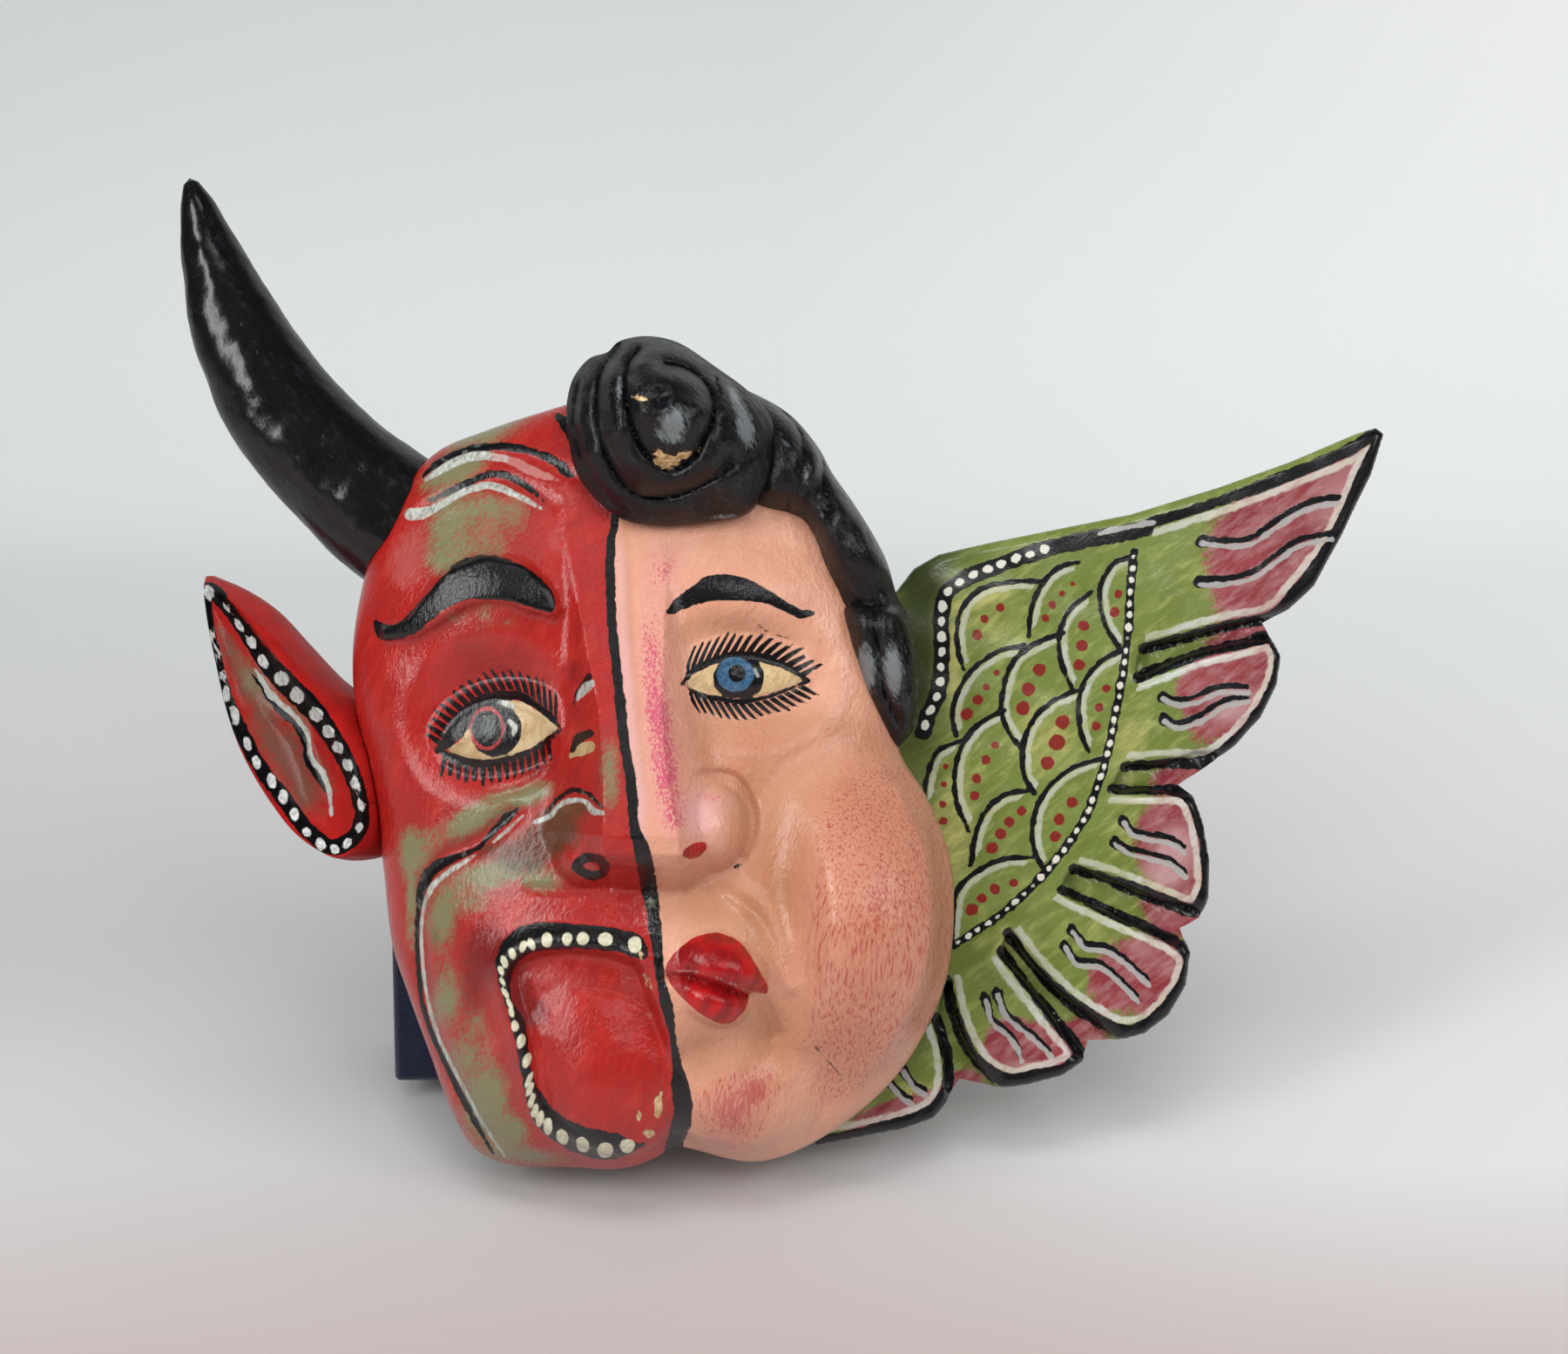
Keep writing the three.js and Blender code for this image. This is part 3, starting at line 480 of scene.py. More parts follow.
HAIR_CREASES = [
    ([(895, 462), (916, 487), (923, 522), (919, 553), (905, 580)], 4.0, 4.5),
    ([(946, 522), (946, 553), (951, 571), (948, 592)], 3.4, 4.0),
    ([(962, 566), (973, 571), (985, 573)], 1.6, 3.5),
    ([(972, 596), (990, 599), (1010, 607), (1020, 620)], -1.0, 2.4),
    ([(972, 612), (994, 617), (1008, 624)], 1.6, 3.5),
    ([(958, 700), (979, 692), (1005, 694), (1042, 692)], 3.6, 3.6),
    ([(1003, 690), (1006, 717), (1008, 746), (1011, 775), (1019, 803), (1034, 832)], 3.4, 4.0),
    ([(1032, 716), (1037, 734), (1041, 760), (1045, 790)], 1.4, 2.6),
    ([(1024, 829), (1040, 830), (1054, 833)], 1.6, 2.2),
]
HAIR_CREASE_HEIGHT = 47.0

HAIR_BACK = 3.0
HAIR_SQUARENESS = 2.5
# Hairline, outer edge and height of the front
SIDE_HAIR = [
    (14, 192, 17, 225, 45), (25, 186, 29, 221, 47), (33, 185.5, 40, 214, 51),
    (38.5, 185, 47.5, 205, 51), (42.5, 183, 51.5, 198, 46), (45.5, 179.5, 58, 188.5, 49),
    (48.5, 170.5, 66.5, 174, 48), (51, 162.5, 70.3, 162.5, 43), (53, 156.5, 73.5, 157, 46.5),
    (56.5, 144, 76, 145, 46), (60, 133.5, 76.5, 132, 42), (65, 124.5, 74.8, 124, 36),
    (68, 119.5, 71.5, 119.5, 30),
]

# Horn, as across, along, out and radius
HORN = [
    (-61.3, 174.5, 18, 19.3), (-71.6, 182.1, 18, 19.9), (-82.2, 190.7, 18.5, 19.3),
    (-92.3, 199.8, 19, 18.2), (-101.7, 209.3, 20, 17.5), (-110.6, 220.9, 21, 16.4),
    (-117.4, 232.9, 22, 14.7), (-122.7, 244.8, 23, 12.8), (-126.5, 256.7, 24, 10.1),
    (-129.8, 267.6, 25, 7.2), (-132, 275.9, 26, 4.8), (-133.6, 281.8, 26.5, 2.2),
]
HORN_FLATNESS = 0.85
HORN_SIDES = 72
HORN_STEPS = 14
# How far its point stands out from the last place of its path
HORN_POINT = (-0.4, 1.6)
# Where the horn is thinner than this radius the knife's marks grow fainter
HORN_FULL_MARKS = 8

# Ear
EAR_CENTRE = (-102.0, 120.0)
EAR_SLOPE = 0.42
EAR_RIM_DEPTH = 28.0
EAR_BACK = 5.0
EAR_BOWL = 9.0
EAR_OUTLINE = [
    (-134, 169.5), (-128, 168), (-120.5, 164.5), (-112.5, 159), (-103, 149), (-94, 139.5),
    (-84, 131), (-76, 118), (-74, 100), (-77, 88.5), (-82.5, 86), (-89, 85.5), (-97.5, 88.5),
    (-105, 93.5), (-111.5, 100.5), (-118, 109.5), (-123, 118.5), (-127, 129.5), (-130.5, 144),
    (-133, 156),
]
EAR_RIM = [
    (-131.5, 166), (-127, 163.5), (-120, 158), (-114, 151), (-107, 142.5), (-100, 134),
    (-93, 126), (-88, 118), (-84.8, 108), (-83, 98), (-85, 91.5), (-90, 88.5), (-97, 91),
    (-104, 96), (-110, 103), (-116, 111.5), (-121, 120.5), (-125, 131), (-128.5, 145), (-131, 156),
]

# Low ridge down the ear's bowl
EAR_RIDGE = [(-119, 138), (-112, 130), (-103, 122), (-99, 112), (-95, 100)]
EAR_RIDGE_RISE = 1.6
EAR_RIDGE_HALF_WIDTH = 3.0
# From the rim to the edge and round it: share of the way out, lift and share of the way to the back
EAR_EDGE_PROFILE = [
    (0.0, 0.8, 0.0), (0.12, 1.1, 0.0), (0.3, 1.0, 0.05), (0.5, 0.4, 0.2), (0.7, 0.0, 0.34),
    (0.85, 0.0, 0.5), (0.94, 0.0, 0.65), (1.0, 0.0, 0.82), (0.99, 0.0, 0.92),
]
EAR_SIDES = 220

# Wing, its thickness at the two ends of its span
WING_THICKNESS = (15.0, 10.0)
WING_SPAN = (80.0, 215.0)
WING_BEVEL = 2.2
# Height of the sawn blank, height of the carved surface's closed underside, and how far that surface
# reaches past the outline
WING_BLANK = 20.0
WING_UNDERSIDE = -1.0
WING_MARGIN = 3
# Gaps between the feathers: their floor, its unevenness, their edges and the groove along them
GAP_FLOOR = 7.5
GAP_UNEVENNESS = 0.3
GAP_EDGE = (0.6, -1.2)
GAP_GROOVE = 0.9
GAP_GROOVE_HALF_WIDTH = 1.8
WING_OUTLINE = [
    (50, 150), (71, 165), (76, 171.5), (83, 175.5), (98, 179), (140, 187.5), (166, 195.5), (187, 203),
    (207, 211.5), (213, 213.3), (215.3, 211.5), (211.5, 199.5), (203, 182), (194.5, 166.5),
    (187, 159.5), (179.5, 155.5), (182, 151), (184.6, 145.5), (183.3, 137), (178.5, 127.5),
    (171, 119.3), (163, 113), (154.5, 107.5), (158.5, 104.5), (161.5, 96), (163.3, 85), (163, 74),
    (160.8, 68), (155, 65), (157.6, 58), (156.3, 48.5), (151, 39.5), (144, 34.3), (135.5, 32),
    (127.8, 31.8), (126, 26.3), (119.5, 22), (109, 19.3), (99, 18.3), (89.5, 20.3), (86.5, 15.5),
    (81.5, 9.8), (72.5, 6.6), (60, 4.2), (47, 1.8), (42, 12), (50, 60),
]
FEATHER_GAPS = [
    [(143.5, 147.7), (155, 151), (170, 155), (188, 158), (188, 152.6), (170, 149), (155, 144.7),
     (142, 139.8)],
    [(138.3, 113.2), (150, 114.2), (160, 117.5), (168, 116), (163, 105), (157, 104.5), (145, 106),
     (135, 106.5)],
    [(123, 82.8), (134, 79.5), (148, 74), (159, 71.5), (168, 66), (152, 61), (134, 69.5), (120, 76.6)],
    [(103.7, 63.7), (111, 54.7), (120, 45.5), (129.5, 38.5), (137, 30), (125, 27), (117.5, 38),
     (109.5, 48.3), (102, 58.3)],
    [(86.2, 50), (88, 40), (92.5, 29), (100, 18), (86.5, 14), (84.5, 28), (82.6, 37.2)],
]


def head_height(share, edge):
    """Bare head: a deep cushion that turns down to its sides."""
    return edge + (FACE_HEIGHT - edge) * np.sqrt(np.clip(1 - share ** 2.6, 0, None))


def fullest_height(angle):
    """Height at which the side is fullest, further forward beside the puffed cheek."""
    cheek = math.atan2(CHEEK_PLACE[1] - FACE_CENTRE[1], CHEEK_PLACE[0] - FACE_CENTRE[0])
    return RIM_DEPTH + CHEEK_FULLNESS * np.exp(-(wrapped(angle - cheek) / CHEEK_SPREAD) ** 2)


def swelling(u, w, row):
    """Rise of one soft swelling, negative for a hollow."""
    middle, half, turn, rise, softness = row
    return rise * np.clip(1 - ellipse(u, w, middle, half, turn) ** 2, 0, None) ** softness


def lump(u, w, row):
    """Round lump that drops away steeply outside its own edge."""
    middle, half, turn, base, rise, *flatness = row
    share = ellipse(u, w, middle, half, turn)
    dome = np.sqrt(np.clip(1 - share ** (2 * sum(flatness or [1])), 0, None))
    return base + rise * dome - LUMP_FALL * np.clip(share - 1, 0, None)


def nose_height(u, w):
    """Height of the nose: a flat ridge between steep sides."""
    along = (NOSE_MIDLINE[0][1] - w) / (NOSE_MIDLINE[0][1] - NOSE_MIDLINE[1][1])
    middle = NOSE_MIDLINE[0][0] + (NOSE_MIDLINE[1][0] - NOSE_MIDLINE[0][0]) * along
    rows = np.array(NOSE_PROFILE, float)
    flat = np.interp(w, rows[:, 0], rows[:, 1])
    half = np.interp(w, rows[:, 0], rows[:, 2])
    return flat - NOSE_SIDE_SLOPE * np.clip(np.abs(u - middle) - half, 0, None)


def face_height(u, w, angle, share):
    """Height of the carved face, where share runs from 0 in the middle to 1 at the outline."""
    height = head_height(share, fullest_height(angle))
    soft = sum(swelling(u, w, row) for row in SWELLINGS)
    ridge, half, _ = near_path(u, w, DEVIL_BROW_RIDGE)
    soft = soft + BROW_RISE * (1 - ease(half - BROW_SOFTNESS, half + BROW_SOFTNESS, ridge))
    fold = near_path(u, w, smooth_path(DEVIL_FOLD))[0]
    soft = soft - FOLD_DEPTH * np.exp(-(fold / FOLD_HALF_WIDTH) ** 2)
    height = height + soft * (1 - ease(CARVING_END, 1, share))
    mouth = -area(u, w, DEVIL_LIP + MOUTH_MIDLINE, smooth=False)
    lip = near_path(u, w, smooth_path(DEVIL_LIP))[0]
    height = height + LIP_RISE * np.exp(-(lip / LIP_HALF_WIDTH) ** 2) - MOUTH_SINK * ease(*MOUTH_EDGE, mouth)
    lips = np.maximum(lump(u, w, UPPER_LIP), lump(u, w, LOWER_LIP))
    for part, rounding in (
        (lump(u, w, TONGUE), TONGUE_ROUNDING),
        (lips, LIP_ROUNDING),
        (nose_height(u, w), NOSE_ROUNDING),
        (lump(u, w, CHERUB_NOSTRIL), CHERUB_NOSTRIL_ROUNDING),
        (lump(u, w, DEVIL_NOSTRIL), DEVIL_NOSTRIL_ROUNDING),
    ):
        height = joined(height, part, rounding)
    for path, rise, half_width in FINE_CARVING:
        distance = near_path(u, w, smooth_path(path), CARVING_REACH)[0]
        height = height + rise * np.exp(-(distance / half_width) ** 2) * (distance < CARVING_REACH)
    return height


def sector_angles(count):
    """Angles round the face, closer together towards its finest lines."""
    angle = np.linspace(-math.pi, math.pi, 4001)
    density = np.ones(len(angle))
    for middle, spread, extra in FINE_DIRECTIONS:
        turned = wrapped(angle - math.radians(middle))
        density += extra * np.exp(-(turned / math.radians(spread)) ** 2)
    total = np.concatenate([[0], np.cumsum((density[1:] + density[:-1]) / 2)])
    return np.interp(np.arange(count) / count * total[-1], total, angle)


def head(name, sectors, rings, grow=0.0):
    """The head without its hollow, as one closed loft."""
    radius_at = polar_outline(FACE_OUTLINE, FACE_CENTRE)
    angle = sector_angles(sectors)
    full = radius_at(angle) + grow
    lofted = []
    for k in range(1, rings + 1):
        t = k / rings
        share = t * (1 + RING_CROWDING - RING_CROWDING * t)
        u, w = around(FACE_CENTRE, full * share, angle)
        lofted.append(placed(u, w, face_height(u, w, angle, np.full(sectors, share)) + grow))
    for t in (0.15, 0.4, 0.65, 0.85, 0.97, 1.0):
        share = 1 - RIM_INSET * t * t
        u, w = around(FACE_CENTRE, full * share, angle)
        lofted.append(placed(u, w, (fullest_height(angle) + grow) * (1 - t) - grow * t))
    u, w = (np.array([value]) for value in FACE_CENTRE)
    top = face_height(u, w, np.zeros(1), np.zeros(1)) + grow
    return loft(name, placed(u, w, top), lofted, placed(u, w, -grow))


def hollow(sectors=120, rings=30):
    """The hollow behind the face, with shallow gouge marks."""
    radius_at = polar_outline(FACE_OUTLINE, FACE_CENTRE)
    angle = np.arange(sectors) / sectors * 2 * math.pi
    reach = radius_at(angle) * (1 - RIM_INSET) - WALL
    lofted = []
    for k in range(1, rings + 2):
        share = min(1, k / rings)
        u, w = around(FACE_CENTRE, reach * share, angle)
        depth = HOLLOW_DEPTH * (1 - share ** 3) ** 0.6
        gouged = depth + GOUGE_DEPTH * np.sin(u * 0.55 + 2 * np.sin(w * 0.09)) * np.sin(w * 0.21 + 0.4)
        lofted.append(placed(u, w, np.clip(gouged, 0, None) if k <= rings and share < 1 else HOLLOW_END))
    u, w = FACE_CENTRE
    return loft("hollow", placed(u, w, HOLLOW_DEPTH), lofted, placed(u, w, HOLLOW_END))


def creased(u, w, creases, reference):
    """How far creases with round shoulders are pressed in; a negative depth raises a ridge."""
    pressed = np.zeros(u.shape)
    raised = np.zeros(u.shape)
    for path, depth, half_width in creases:
        distance = near_path(u, w, smooth_path(seen_at(path, reference), 6), half_width + 0.5)[0]
        shoulder = depth * (1 - np.sqrt(1 - (1 - np.clip(distance / half_width, 0, 1)) ** 2))
        pressed = np.maximum(pressed, shoulder)
        raised = np.maximum(raised, -shoulder)
    return pressed - raised


def curl(sectors=180, rings=60):
    """The front curl: a low cone wound with round coils that meet in sharp grooves."""
    radius_at = polar_outline(CURL_OUTLINE, CURL_CORE)
    angle = np.arange(sectors) / sectors * 2 * math.pi
    full = radius_at(angle)
    hole_u, hole_w, hole_radius, hole_depth = CURL_HOLE

    def height_at(u, w, share):
        cone = CURL_HEIGHT + (CURL_EDGE_HEIGHT - CURL_HEIGHT) * share ** 1.7
        cone = cone + waves(np.stack([u, w, 0 * u], axis=1), *CURL_UNEVENNESS)
        pressed = creased(u, w, CURL_CREASES, (CURL_HEIGHT + CURL_EDGE_HEIGHT) / 2)
        pressed = pressed + hole_depth * np.exp(-(np.hypot(u - hole_u, w - hole_w) / hole_radius) ** 2)
        return cone - pressed * (1 - share ** 10)

    lofted = []
    for k in range(1, rings + 1):
        share = k / rings
        u, w = around(CURL_CORE, full * share, angle)
        lofted.append(placed(u, w, height_at(u, w, share)))
    for share, t in ((1.0, 0.25), (1.0, 0.5), (1.0, 0.75), (0.97, 0.95), (0.9, 1.0)):
        u, w = around(CURL_CORE, full * share, angle)
        lofted.append(placed(u, w, CURL_EDGE_HEIGHT + (CURL_BACK - CURL_EDGE_HEIGHT) * t))
    u, w = (np.array([value]) for value in CURL_CORE)
    return loft("curl", placed(u, w, height_at(u, w, 0.0)), lofted, placed(u, w, CURL_BACK))


def side_hair(sides=72, steps=6, grow=0.0):
    """Squared sections between the hairline and the outer edge, with the creases cut in."""
    angle = np.arange(sides) / sides * 2 * math.pi
    across = np.sign(np.cos(angle)) * np.abs(np.cos(angle)) ** (2 / HAIR_SQUARENESS)
    out = np.sign(np.sin(angle)) * np.abs(np.sin(angle)) ** (2 / HAIR_SQUARENESS)
    lofted = []
    for iu, iw, ou, ow, front in smooth_path(SIDE_HAIR, steps):
        half = 0.5 + grow / math.hypot(ou - iu, ow - iw)
        u = (iu + ou) / 2 + (ou - iu) * across * half
        w = (iw + ow) / 2 + (ow - iw) * across * half
        d = (front + HAIR_BACK) / 2 + out * ((front - HAIR_BACK) / 2 + grow)
        if not grow:
            pressed = creased(u, w, HAIR_CREASES, HAIR_CREASE_HEIGHT)
            uneven = waves(np.stack([u, w, d], axis=1), *HAIR_UNEVENNESS)
            d = d + (uneven - pressed) * ease(0.2, 0.7, out)
        lofted.append(placed(u, w, d))
    ends = [placed((row[0] + row[2]) / 2, (row[1] + row[3]) / 2 - drop, (row[4] + HAIR_BACK) / 2)
            for row, drop in ((SIDE_HAIR[0], 0), (SIDE_HAIR[-1], 1 + grow))]
    return loft("side hair", ends[0], lofted, ends[1])


# Order of the face's materials: its enamel, the hair's enamel and bare wood
PAINTED, HAIR, BARE = range(3)
# The flat back is what lies below this height, in millimetres, and faces backwards more than this
BACK_HEIGHT = 0.8
BACK_FACING = 0.8


def bare_rim(face):
    """Leaves the flat back of the face's rim unpainted."""
    polygons = face.data.polygons
    index = np.empty(len(polygons), dtype=np.int32)
    polygons.foreach_get("material_index", index)
    _, _, d = carved(triples(polygons, "center"))
    out = triples(polygons, "normal") @ np.array([0, -math.cos(LEAN), math.sin(LEAN)])
    index[(d < BACK_HEIGHT) & (out < -BACK_FACING)] = BARE
    polygons.foreach_set("material_index", index)


def seat():
    """What the horn, ear and wing are cut to, a little larger than the head and its side hair."""
    block = head("seat", 160, 50, grow=CLEARANCE)
    return cut(block, side_hair(40, 3, CLEARANCE), "UNION")


# Paint, in the photograph's pixels

MIDLINE = [
    (707, 560, 8), (706, 597, 9), (701, 626, 10), (701, 672, 11), (703, 719, 11), (709, 779, 12),
    (717, 851, 12), (725, 904, 12), (728, 950, 12), (738, 979, 19), (743, 1008, 19), (749, 1040, 16),
    (754, 1081, 13), (759, 1126, 10), (765, 1151, 14), (771, 1183, 9), (776, 1215, 10),
    (781, 1247, 20), (784, 1279, 22), (777, 1304, 20), (769, 1330, 17), (766, 1360, 15),
]
FOREHEAD_INK = [
    [(486, 546, 3), (500, 534, 7), (528, 519, 8), (560, 513, 9), (591, 514, 9), (622, 522, 9),
     (645, 536, 12), (655, 547, 9)],
    [(492, 575, 3), (512, 566, 7), (536, 555, 8), (556, 546, 8), (573, 544, 9), (601, 555, 9),
     (625, 576, 4)],
    [(636, 474, 6), (648, 484, 14), (658, 500, 14), (668, 524, 8)],
]
FOREHEAD_CHALK = [
    [(487, 552, 3), (504, 541, 8), (528, 528, 10), (553, 523, 10), (582, 527, 7)],
    [(471, 590, 14), (484, 589, 13), (500, 583, 9), (524, 569, 7), (545, 560, 8), (563, 557, 9),
     (590, 567, 7), (624, 585, 4)],
]
FOREHEAD_PINK = [[(565, 522, 7), (590, 530, 10), (612, 541, 12), (641, 551, 4)]]
DEVIL_BROW = [
    (430, 712), (437, 715), (455, 716), (476, 697), (501, 669), (523, 647), (548, 637), (573, 639),
    (601, 650), (626, 669), (637, 688), (634, 703), (601, 694), (566, 688), (530, 690), (498, 709),
    (476, 727), (455, 735), (435, 733),
]
CHERUB_BROW = [
    (764, 704), (775, 688), (790, 675), (812, 662), (836, 659), (862, 666), (887, 680), (914, 697),
    (937, 702), (924, 710), (900, 702), (873, 692), (842, 689), (814, 691), (790, 697), (770, 705),
]
DEVIL_EYE = [
    (514, 860), (529, 849), (536, 832), (548, 813), (575, 803), (598, 805), (620, 818), (641, 836),
    (616, 856), (588, 868), (556, 874), (530, 868),
]
CHERUB_EYE = [
    (789, 783), (800, 772), (823, 762), (847, 757), (873, 758), (899, 767), (924, 780), (905, 789),
    (880, 796), (852, 801), (820, 798), (797, 791),
]
LIDS = [
    [(500, 864, 4), (517, 847, 17), (531, 827, 21), (550, 808, 18), (575, 799, 13), (600, 800, 10),
     (622, 814, 8), (644, 836, 4)],
    [(502, 860, 5), (522, 870, 9), (550, 876, 9), (580, 872, 8), (612, 860, 6), (643, 838, 4)],
    [(783, 785, 3), (797, 769, 7), (821, 758, 10), (845, 753, 11), (873, 754, 11), (900, 764, 8),
     (928, 781, 4)],
    [(786, 786, 4), (796, 794, 4), (820, 801, 6), (852, 805, 7), (880, 800, 5), (907, 790, 4),
     (926, 782, 3)],
]
# Each row of lashes: the lid it grows from, length, spacing, how far the lashes lean at its start,
# middle and end, and whether they point up or down
LASHES = [
    ([(502, 856), (512, 836), (530, 811), (550, 797), (576, 789), (602, 792), (625, 808), (644, 830)],
     20, 9.2, (0.2, -0.3, -1.4), 1),
    ([(506, 868), (524, 877), (552, 882), (582, 877), (612, 864), (640, 843)],
     18, 9.2, (0.4, -0.15, -0.7), -1),
    ([(786, 777), (798, 764), (821, 753), (846, 748), (874, 749), (902, 760), (928, 778)],
     21, 9.8, (1.5, 0.6, 0.45), 1),
    ([(789, 792), (799, 799), (821, 806), (853, 810), (881, 805), (909, 795), (929, 785)],
     17, 9.0, (1.2, 0.7, 0.7), -1),
]
IRISES = [((569, 837), (29, 32)), ((848, 777), (29, 28))]
DEVIL_RING = ((559, 836), (18.5, 23), 0)
DEVIL_PUPIL = ((561, 834), (8, 13.5), 0)
DEVIL_RING_WIDTH = 3.4
CHERUB_BLUE = ((844, 774), (21.5, 20), 0)
CHERUB_PUPIL = ((846, 773), (9.5, 10), 0)
# Painted highlights on the irises
GLINTS = [
    [(574, 806, 5), (582, 808, 7), (591, 812, 4)], [(585, 828, 6), (591, 835, 6), (589, 843, 3)],
    [(556, 822, 2), (563, 826, 3)], [(866, 768, 3), (870, 776, 3)],
]
NOSE_INK = [
    [(658, 809, 4), (664, 793, 5), (676, 777, 7)],
    [(657, 862, 5), (664, 848, 10), (678, 841, 8)],
    [(628, 933, 4), (640, 917, 5), (655, 907, 6), (673, 910, 5), (690, 925, 4)],
    [(594, 929, 5), (584, 937, 11), (567, 953, 8), (549, 973, 6), (521, 985, 9), (499, 996, 14),
     (486, 1014, 12), (480, 1052, 6), (481, 1119, 6), (489, 1167, 6), (512, 1221, 7), (537, 1272, 7),
     (553, 1301, 5), (566, 1324, 3)],
    [(661, 995, 11), (668, 986, 11), (680, 984, 10), (692, 990, 11), (694, 999, 11), (686, 1005, 11),
     (672, 1003, 11), (661, 995, 11)],
    [(844, 995, 4), (851, 992, 2)],
]
NOSE_CHALK = [
    [(662, 803, 4), (673, 789, 11), (680, 784, 7)],
    [(600, 936, 3), (583, 952, 4), (566, 967, 3)],
    [(614, 944, 5), (632, 936, 6), (640, 926, 5), (655, 919, 6), (672, 920, 5), (681, 931, 8),
     (691, 933, 5)],
    [(547, 980, 2), (530, 991, 5), (509, 1005, 6), (495, 1020, 6), (486, 1045, 4), (484, 1087, 4),
     (489, 1135, 4), (498, 1175, 4), (514, 1214, 4), (537, 1257, 4), (557, 1294, 3), (580, 1328, 2)],
]
NOSE_CREAM = [[(655, 868, 5), (664, 862, 13), (677, 857, 13)]]
MOUTH_OUTER = [
    (744, 1090), (735, 1074), (710, 1066), (687, 1063), (642, 1059), (612, 1060), (590, 1068),
    (575, 1085), (569, 1103), (572, 1126), (582, 1158), (590, 1190), (598, 1231), (604, 1263),
    (614, 1288), (632, 1307), (660, 1322), (690, 1331), (714, 1328), (741, 1312),
]
MOUTH_INNER = [
    (732, 1312), (712, 1302), (677, 1295), (647, 1282), (626, 1262), (612, 1236), (607, 1203),
    (602, 1172), (588, 1150), (586, 1128), (594, 1105), (610, 1094), (632, 1090), (660, 1089),
    (690, 1090), (712, 1094), (728, 1100), (740, 1100),
]
TEETH = [
    (729, 1084, 8, 9.5, 0), (695, 1078, 8.5, 8, 0), (669, 1077, 7.5, 7.5, 0), (651, 1078, 6, 7.5, 0),
    (628, 1079, 6, 9, 0), (610, 1084, 4, 8, -18), (600, 1087, 4, 7, 18), (588, 1094, 4.5, 7.5, -14),
    (579, 1104, 4, 7.5, -24), (575, 1114, 3.5, 6, -28), (577, 1127, 2.4, 6, -32),
    (580, 1140, 2.6, 7, -32), (585, 1152, 2.6, 7, -28), (587, 1162, 3.4, 6.5, -20),
    (591, 1178, 4.6, 6.5, -10), (598, 1195, 5, 9, 14), (605, 1217, 5, 9, 16), (607, 1240, 3, 10, 24),
    (608, 1251, 3, 9, 28), (610, 1264, 3.4, 10, 20), (614, 1274, 3.6, 8.5, 18), (620, 1284, 4.4, 9.5, 12),
    (629, 1293, 5, 10, 0), (646, 1305, 6.5, 9.5, -18), (669, 1314, 7, 9.5, -24), (695, 1320, 9, 9, -20),
    (720, 1315, 9, 8, 0),
]
LIPS = [
    (764, 1111), (775, 1093), (797, 1076), (825, 1071), (850, 1082), (868, 1107), (882, 1140),
    (862, 1139), (856, 1158), (836, 1175), (811, 1168), (786, 1148), (768, 1127),
]
LIP_PARTING = [[(768, 1115, 1.5), (795, 1115, 2.5), (828, 1124, 2.5), (860, 1138, 1.5)]]
NOSTRIL_SPOTS = [(798, 976, 15, 8, -25), (679, 995, 8, 3.5, 10)]
CHIPS = [
    (756, 1268, 4, 12, 12), (746, 1300, 7, 5, 0), (733, 1280, 2, 5, 0),
    (743, 1123, 2, 9, -20), (735, 1094, 2, 4, 0),
]
HAIR_CHIPS = [(764, 528, 13, 9, 6), (784, 522, 15, 4, -14), (753, 521, 6, 3, 0), (737, 457, 7, 3, 10)]
# Painted highlights on the hair, grey where light catches its coils and lobes: middle, half sizes, turn and
# strength
HAIR_PAINTED_HIGHLIGHTS = [
    (772, 488, 26, 32, 20, 0.9), (711, 446, 6, 26, 0, 0.8), (856, 492, 15, 32, -20, 0.95),
    (842, 452, 9, 26, -30, 0.7), (755, 398, 44, 7, 0, 0.45), (688, 495, 6, 50, 8, 0.5),
    (725, 562, 40, 7, 20, 0.35), (800, 566, 44, 7, -14, 0.45), (900, 505, 7, 28, -30, 0.6),
    (925, 545, 7, 30, -15, 0.6), (888, 548, 12, 14, 0, 0.5), (832, 593, 26, 5, -4, 0.8),
    (990, 570, 22, 6, 20, 0.4), (995, 604, 28, 4, 15, 0.4), (994, 768, 14, 40, -4, 1.0),
    (1026, 768, 15, 42, -4, 1.0), (985, 640, 22, 30, 0, 0.3), (1044, 838, 8, 6, 0, 0.5),
    (668, 480, 6, 50, 6, 0.3), (800, 440, 12, 22, -30, 0.4),
]
CRACKS = [
    [(910, 1194, 1.2), (928, 1196, 1.5), (945, 1213, 2.2), (960, 1228, 2.2), (975, 1240, 1.2)],
    [(870, 718, 1), (885, 727, 1.6), (906, 733, 1)],
    [(892, 818, 1), (905, 811, 1.6)], [(742, 625, 1), (767, 629, 1.6)],
    [(850, 522, 1), (862, 519, 2), (870, 528, 2), (872, 516, 1)],
]
